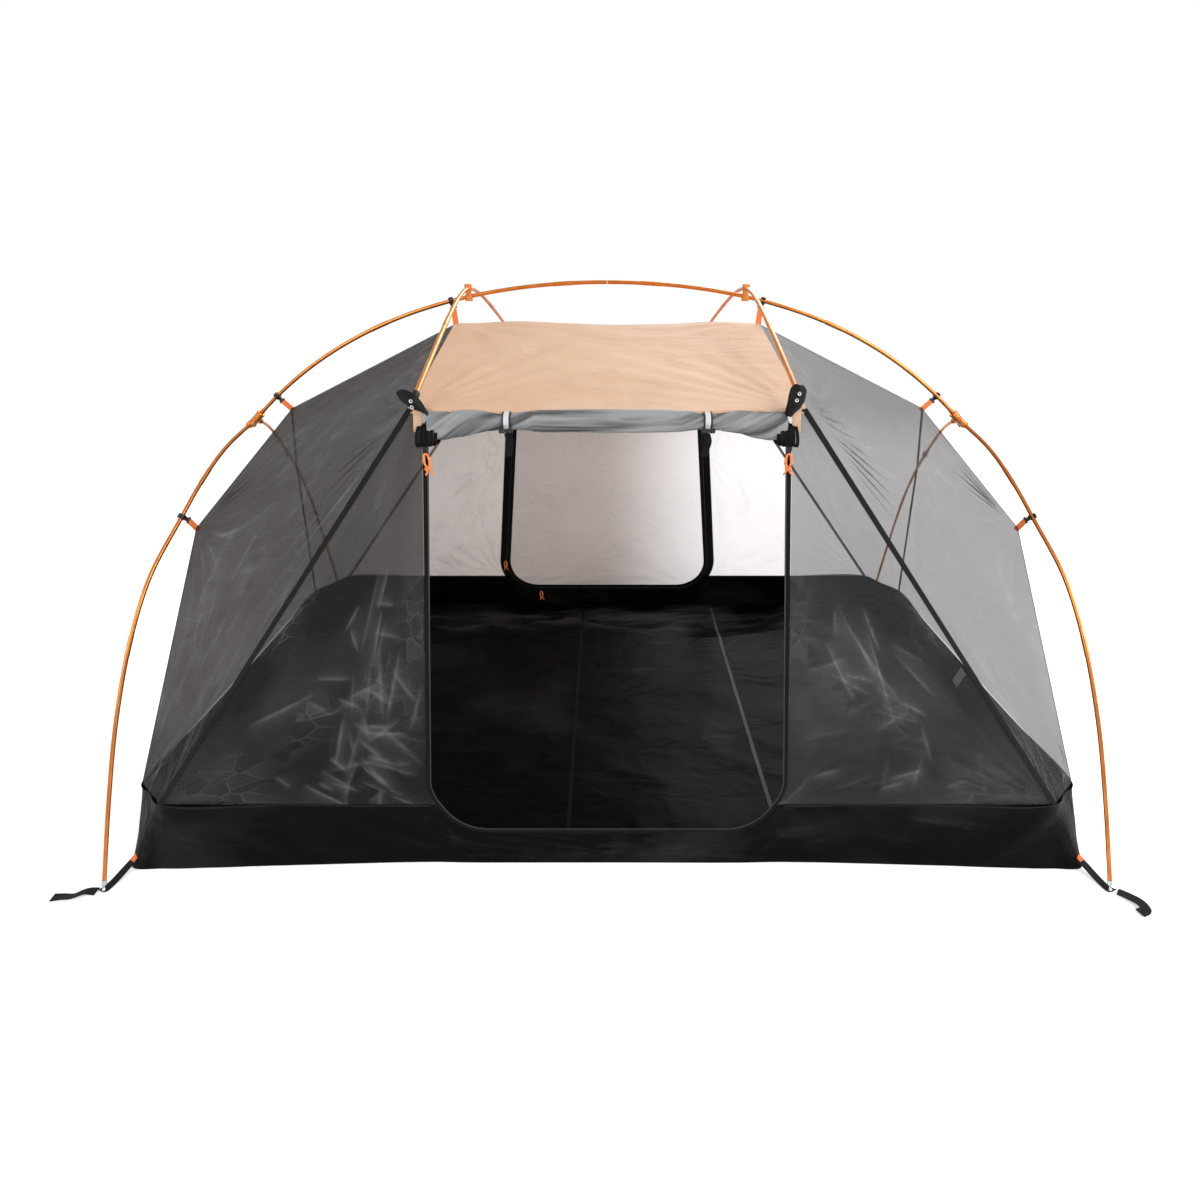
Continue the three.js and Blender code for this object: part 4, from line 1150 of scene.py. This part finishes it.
# The roll's colour is painted light and shade: lighter on the crests of its layers, darker in the folds
# between, with the crease pattern mixed in.
rolled_net, rolled_tree, rolled_shader = dressed("rolled_netting", Roughness=0.55, Specular_IOR_Level=0.3)
rolled_threads = woven(rolled_tree, 5600.0, 22.0, 0.4)
rolled_fold_light = output("Fac", rolled_tree, "Attribute", attribute_name="fold_light")
rolled_tone = maths(rolled_tree, "MULTIPLY_ADD", rolled_threads["Creases"], 0.5, rolled_fold_light)
feed(rolled_tree, rolled_shader, {
    "Base Color": tinted(rolled_tree, rolled_tone, (0.022, 0.023, 0.024), (0.29, 0.30, 0.305), 0.30, 0.98),
    "Normal": output("Normal", rolled_tree, "Bump", {"Height": rolled_tone, "Distance": 0.006}),
})
roll = cloth(
    "rolled_door", 72, 260, rolled, (0.12, 0.588),
    fold_lights=lambda u, v: min(
        1.0, max(0.0, 0.5 + 0.5 * folds_of_roll((2 * v - 1) * ROLL_HALF, 2 * math.pi * u)),
    ),
)
dress(closed_round(roll), rolled_net, replaces=["front_door_roll"])


def hoop(x, deep, high, middle, lean=0.0, steps=28):
    """A closed path round the bundle, its top leant along X by lean."""
    turns = [2 * math.pi * i / steps + 0.5 for i in range(steps + 1)]
    return [
        Vector((x + lean * math.sin(a), ROLL_Y + deep * math.cos(a), middle + high * math.sin(a)))
        for a in turns
    ]


tie_finish, tie_tree, tie_shader = dressed("reflective_tie", Roughness=0.5)
tie_across = output("X", tie_tree, "SeparateXYZ", {0: output("UV", tie_tree, "TexCoord")})
tie_away = maths(tie_tree, "ABSOLUTE", maths(tie_tree, "SUBTRACT", tie_across, TIE_WIDTH / 2))
grey_part = {"From Min": 0.0040, "From Max": 0.0046, "To Min": 1.0, "To Max": 0.0}
tie_middle = output("Result", tie_tree, "MapRange", {"Value": tie_away, **grey_part})
tie_tone = tinted(tie_tree, tie_middle, (0.012, 0.012, 0.013), (0.62, 0.63, 0.66), 0.1, 0.9)
feed(tie_tree, tie_shader, {"Base Color": tie_tone})
toggle_plastic = hard_finish(
    "black_toggle", (0.010, 0.010, 0.010), (0.022, 0.022, 0.022), (0.3, 0.45), 0.0, 200.0,
)
for end, sign_x in ENDS.items():
    x = sign_x * TIE_AT
    high, middle = bundle(x)
    around = hoop(x, ROLL_DEEP + 0.002, high + 0.0025, middle)
    band = ribbon(f"tie_band_{end}", around, ALONG_X, TIE_WIDTH)
    dress(band, tie_finish, replaces=[f"roll_tie_{end}"])
    low_z = ROLL_Z - ROLL_HIGH * 0.9
    tail_path = through([
        Vector((x, ROLL_Y - 0.006, low_z)),
        Vector((x + 0.003, ROLL_Y - 0.010, low_z - 0.012)),
        Vector((x + 0.001, ROLL_Y - 0.006, low_z - 0.026)),
        Vector((x - 0.002, ROLL_Y - 0.008, low_z - 0.038)),
    ], 6)
    tie_tail = ribbon(f"tie_tail_{end}", tail_path, Vector((1, 0.1, 0)), TIE_WIDTH * 0.9)
    dress(tie_tail, zip_black)
    low, high = (Vector(corner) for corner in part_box(f"roll_toggle_{end}"))
    barrel = turned(f"toggle_barrel_{end}", TOGGLE_PROFILE, (low + high) / 2, ALONG_X, 24)
    dress(barrel, toggle_plastic, f"roll_toggle_{end}", [f"roll_toggle_{end}"])
    for turn_count in range(6):
        at_x = sign_x * (FIRST_WINDING + WINDING_PITCH * turn_count)
        reach = 0.0205 - 0.0012 * abs(turn_count - 2) + 0.0012 * (turn_count % 2)
        wound = hoop(at_x, reach, reach, 0.948 - 0.0012 * turn_count, -0.0030 * sign_x)
        winding = ribbon(f"zip_winding_{end}_{turn_count}", wound, ALONG_X, WINDING_WIDTH, 0.0016)
        dress(winding, zip_black)


# ---- Clips ----
# A black moulded hook snapped over the pole, sewn by an orange webbing tab to the body: two over the roof,
# two at the hubs and one part way down each leg.
HOOK_RADIUS = 0.0068
HOOK_WIDTH = 0.0095
TAB_WIDTH = 0.013
clip_plastic = hard_finish(
    "black_clip", (0.010, 0.010, 0.010), (0.020, 0.020, 0.020), (0.3, 0.45), 0.0, 200.0,
)
orange_web = cloth_finish(
    "orange_webbing", (0.85, 0.16, 0.02), (0.95, 0.26, 0.05), (0.6, 0.8), (5200.0, 60.0), (0.0002, 0.0004)
)


def clip(name, node, on_pole, way, on_cloth):
    """The hook goes most of the way round the pole; its tail holds the tab that runs down to the cloth."""
    down = on_cloth - on_pole
    down = (down - way * down.dot(way)).normalized()
    aside = way.cross(down)
    turns = [math.radians(-70 + 290 * i / 24) for i in range(25)]
    hook = [on_pole + HOOK_RADIUS * (math.sin(a) * aside - math.cos(a) * -down) for a in turns]
    tail = [on_pole + down * (HOOK_RADIUS + 0.001) + aside * 0.0008, on_pole + down * (HOOK_RADIUS + 0.008)]
    ring_piece = ribbon(f"{name}_hook", hook, way, HOOK_WIDTH, 0.0028, 4)
    dress(ring_piece, clip_plastic, replaces=[node])
    bar = turned(f"{name}_bar", collared(0.0022, 0.0085, 0.002, 0.0002), tail[1], way, 16)
    dress(bar, clip_plastic)
    neck = ribbon(
        f"{name}_neck", [tail[0], tail[0].lerp(tail[1], 0.5), tail[1]], way, HOOK_WIDTH, 0.0024, 4,
    )
    dress(neck, clip_plastic)
    run = straight(tail[1], on_cloth + (on_cloth - tail[1]).normalized() * 0.006, 10)
    tab_way = (run[-1] - run[0]).normalized()
    tab = ribbon(f"{name}_tab", run, way - tab_way * way.dot(tab_way), TAB_WIDTH, 0.0018, 5)
    dress(tab, orange_web)


def ridge_clip(name, node, x, on_cloth, sign_x):
    on_pole = Vector((sign_x * x, 0.0, ridge_z(x)))
    ahead = Vector((sign_x * (x + 0.001), 0.0, ridge_z(x + 0.001)))
    clip(name, node, on_pole, (ahead - on_pole).normalized(), mirror(on_cloth, sign_x, 1))


LEG_CLIP_SHARE = 0.288
leg_length = sum((b - a).length for a, b in zip(leg_line, leg_line[1:]))
for end, sign_x in ENDS.items():
    ridge_clip(f"roof_snap_{end}", f"roof_clip_{end}", 0.365, ROOF_CLIP, sign_x)
    ridge_clip(f"hub_snap_{end}", f"hub_clip_{end}", 0.820, HUB_CLIP, sign_x)
    for side, sign_y in SIDES.items():
        point, way = along(leg_line, LEG_CLIP_SHARE * leg_length)
        flip = (sign_x, sign_y)
        places = (mirror(p, *flip) for p in (point, way, LEG_CLIP))
        clip(f"leg_snap_{side}_{end}", f"leg_clip_{side}_{end}", *places)


# ---- Eave pockets ----
# A leaf of stiff black cloth over each roof corner, with a sleeve that takes the end of the cross pole, two
# nickel eyelets, and below it the beige tail of the roof's seam.
pocket_cloth = cloth_finish(
    "pocket_cloth", (0.003, 0.003, 0.0032), (0.008, 0.008, 0.0083), (0.45, 0.65), (3600.0, 30.0),
    (0.0002, 0.001), Specular_IOR_Level=0.2,
)
LEAVES = {
    "front_left": [
        (-0.026, 0.009, 0.003), (-0.020, 0.006, 0.008), (-0.008, 0.0, 0.0105), (0.004, -0.010, 0.009),
        (0.013, -0.019, 0.004), (0.019, -0.026, 0.0008),
    ],
    "front_right": [
        (0.003, 0.021, 0.006), (0.004, 0.014, 0.0125), (0.006, 0.002, 0.0135), (0.009, -0.010, 0.0115),
        (0.013, -0.020, 0.008), (0.015, -0.028, 0.006),
    ],
    "rear": [
        (-0.006, 0.026, 0.004), (-0.004, 0.018, 0.009), (0.0, 0.006, 0.0105), (0.003, -0.006, 0.009),
        (0.006, -0.016, 0.005), (0.008, -0.022, 0.001),
    ],
}
SLEEVE_PROFILE = [
    (0.0, 0.0), (0.0060, 0.0), (0.0066, 0.002), (0.0062, 0.016), (0.0054, 0.021), (0.0, 0.023),
]
EYELET_PROFILE = [
    (0.0014, 0.0), (0.0014, 0.0007), (0.0020, 0.0011), (0.0029, 0.0009), (0.0032, 0.0002), (0.0030, 0.0),
    (0.0014, 0.0),
]
EYELETS = {"left": ((-0.0026, -0.0025), (-0.002, -0.0118)), "right": ((0.005, 0.009), (0.008, -0.001))}


def leaf_surface(tip, flip, leaf):
    """A leaf-shaped flap laid over the pole's end; leaf gives its spine's x and z and its half-width."""
    spine = through([Vector((x, 0.0, z)) for x, z, _ in leaf], 6)
    widths = through([Vector((0.0, x, w)) for x, _, w in leaf], 6)

    def surface(u, v):
        last = len(spine) - 1
        start = min(int(v * last), last - 1)
        part = v * last - start
        centre = spine[start].lerp(spine[start + 1], part)
        way = (spine[start + 1] - spine[start]).normalized()
        half = widths[start].lerp(widths[start + 1], part).z
        off = (2 * u - 1) * half
        here = centre + Vector((-way.z, 0.0, way.x)) * off
        crown = 0.010 * math.cos(1.3 * (2 * u - 1)) - 0.006 * abs(2 * v - 1)
        return tip + mirror(Vector((-here.x, crown, here.z)), *flip)

    return surface


for end, sign_x in ENDS.items():
    for side, sign_y in SIDES.items():
        flip = (sign_x, sign_y)
        tip = mirror(cross_point(CROSS_HALF), *flip)
        before = mirror(cross_point(CROSS_HALF - 0.018), *flip)
        over_pole = leaf_surface(tip, flip, LEAVES.get(f"{side}_{end}", LEAVES.get(side)))
        leaf = cloth(f"pocket_leaf_{side}_{end}", 14, 30, over_pole, (0.022, 0.05), thickness=0.0016)
        dress(leaf, pocket_cloth, replaces=[f"eave_pocket_{side}_{end}"])
        sleeve_way = (tip - before).normalized()
        sleeve = turned(f"pocket_sleeve_{side}_{end}", SLEEVE_PROFILE, before, sleeve_way, 20)
        dress(sleeve, pocket_cloth)
        for count, (dx, dz) in enumerate(EYELETS[end]):
            centre = tip + mirror(Vector((-dx, 0.0112, dz)), *flip)
            eyelet = turned(
                f"pocket_eyelet_{side}_{end}_{count}", EYELET_PROFILE, centre, Vector((0, sign_y, 0)), 20,
            )
            dress(eyelet, tip_metal)
        strip = straight(Vector((0.309, 0.602, 0.986)), Vector((0.312, 0.604, 0.950)), 8, flip)
        tail = ribbon(f"pocket_tail_{side}_{end}", strip, ALONG_X, 0.014, 0.001)
        dress(tail, roof_nylon)


# ---- Corner straps and stake loops ----
# Flat black webbing: a strap from each bathtub corner, stitched there under an orange tab, to the pole's tip.
# Beyond the tip, a loop of it for the stake lies closed and slack on the ground.
black_web = cloth_finish(
    "black_webbing", (0.008, 0.008, 0.0085), (0.020, 0.020, 0.0205), (0.55, 0.75), (3800.0, 50.0),
    (0.0003, 0.0006), Specular_IOR_Level=0.2,
)
TIP = LEG_POINTS[-1]
STRAP_WIDTH = 0.015
LOOP_WIDTH = 0.019
LOOP_WAY = Vector((0.968, 0.251, 0.0))
ACROSS_LOOP = Vector((-LOOP_WAY.y, LOOP_WAY.x, 0.0))
STRAP_END = Vector((TIP.x, TIP.y, 0.0036))
STRAP_POINTS = [
    Vector((1.046, 0.640, 0.020)),
    Vector((1.056, 0.664, 0.012)),
    Vector((1.067, 0.696, 0.0042)),
    STRAP_END,
    STRAP_END + 0.008 * LOOP_WAY,
]
LOOPS = {
    ("front", "left"): (
        [
            (0.014, 0.0, 0.003), (0.034, -0.004, 0.005), (0.056, 0.004, 0.006), (0.078, -0.002, 0.004),
            (0.098, -0.006, 0.003),
        ],
        0.75,
    ),
    ("front", "right"): (
        [
            (0.014, 0.0, 0.003), (0.030, 0.010, 0.005), (0.046, 0.026, 0.008), (0.050, 0.040, 0.006),
            (0.036, 0.050, 0.004),
        ],
        0.35,
    ),
    ("rear", "left"): (
        [(0.014, 0.0, 0.003), (0.036, 0.003, 0.004), (0.058, -0.002, 0.003), (0.080, 0.002, 0.003)], 0.2,
    ),
    ("rear", "right"): (
        [(0.014, 0.0, 0.003), (0.036, -0.003, 0.005), (0.058, 0.002, 0.004), (0.080, 0.004, 0.003)], -0.3,
    ),
}
for end, sign_x in ENDS.items():
    for side, sign_y in SIDES.items():
        flip = (sign_x, sign_y)
        strap_side = mirror(Vector((0.93, -0.36, 0.25)), *flip)
        strap_path = [mirror(p, *flip) for p in through(STRAP_POINTS, 6)]
        strap = ribbon(f"corner_strap_{side}_{end}", strap_path, strap_side, STRAP_WIDTH, 0.0016, 4)
        dress(strap, black_web)
        stitched = straight(Vector((1.045, 0.637, 0.0230)), Vector((1.050, 0.650, 0.0185)), 1, flip)
        patch = ribbon(f"strap_stitch_{side}_{end}", stitched, strap_side, 0.010, 0.0016, 3)
        dress(patch, orange_web)
        points, twist = LOOPS[side, end]
        foot = Vector((TIP.x, TIP.y, 0.0))
        here = [foot + LOOP_WAY * a + ACROSS_LOOP * b + Vector((0, 0, c)) for a, b, c in points]
        loop_path = [mirror(p, *flip) for p in through(here, 6)]
        ways = []
        for i, point in enumerate(loop_path):
            ahead = loop_path[min(i + 1, len(loop_path) - 1)] - loop_path[max(i - 1, 0)]
            flat_way = Vector((-ahead.y, ahead.x, 0.0)).normalized()
            lean = twist * math.sin(math.pi * i / (len(loop_path) - 1))
            ways.append((flat_way * math.cos(lean) + Vector((0, 0, 0.35 * math.sin(lean)))).normalized())
        stake_web = ribbon(f"stake_webbing_{side}_{end}", loop_path, ways, LOOP_WIDTH, 0.0022, 4)
        body = f"stake_loop_{side}_{end}"
        dress(stake_web, black_web, body, [body])


# ---- Care label ----
# A blank off-white satin label, sewn into the seam along the top of the bathtub's right end, where it hangs
# inside.
label_cloth = cloth_finish(
    "satin_label", (0.42, 0.42, 0.42), (0.55, 0.55, 0.55), (0.4, 0.5), (3000.0, 30.0), (0.00005, 0.001)
)
label_path = straight(Vector((1.060, -0.03, 0.118)), Vector((1.050, -0.02, 0.066)), 8)
dress(ribbon("care_label", label_path, Vector((0, 1, 0.2)), 0.032, 0.0005), label_cloth)
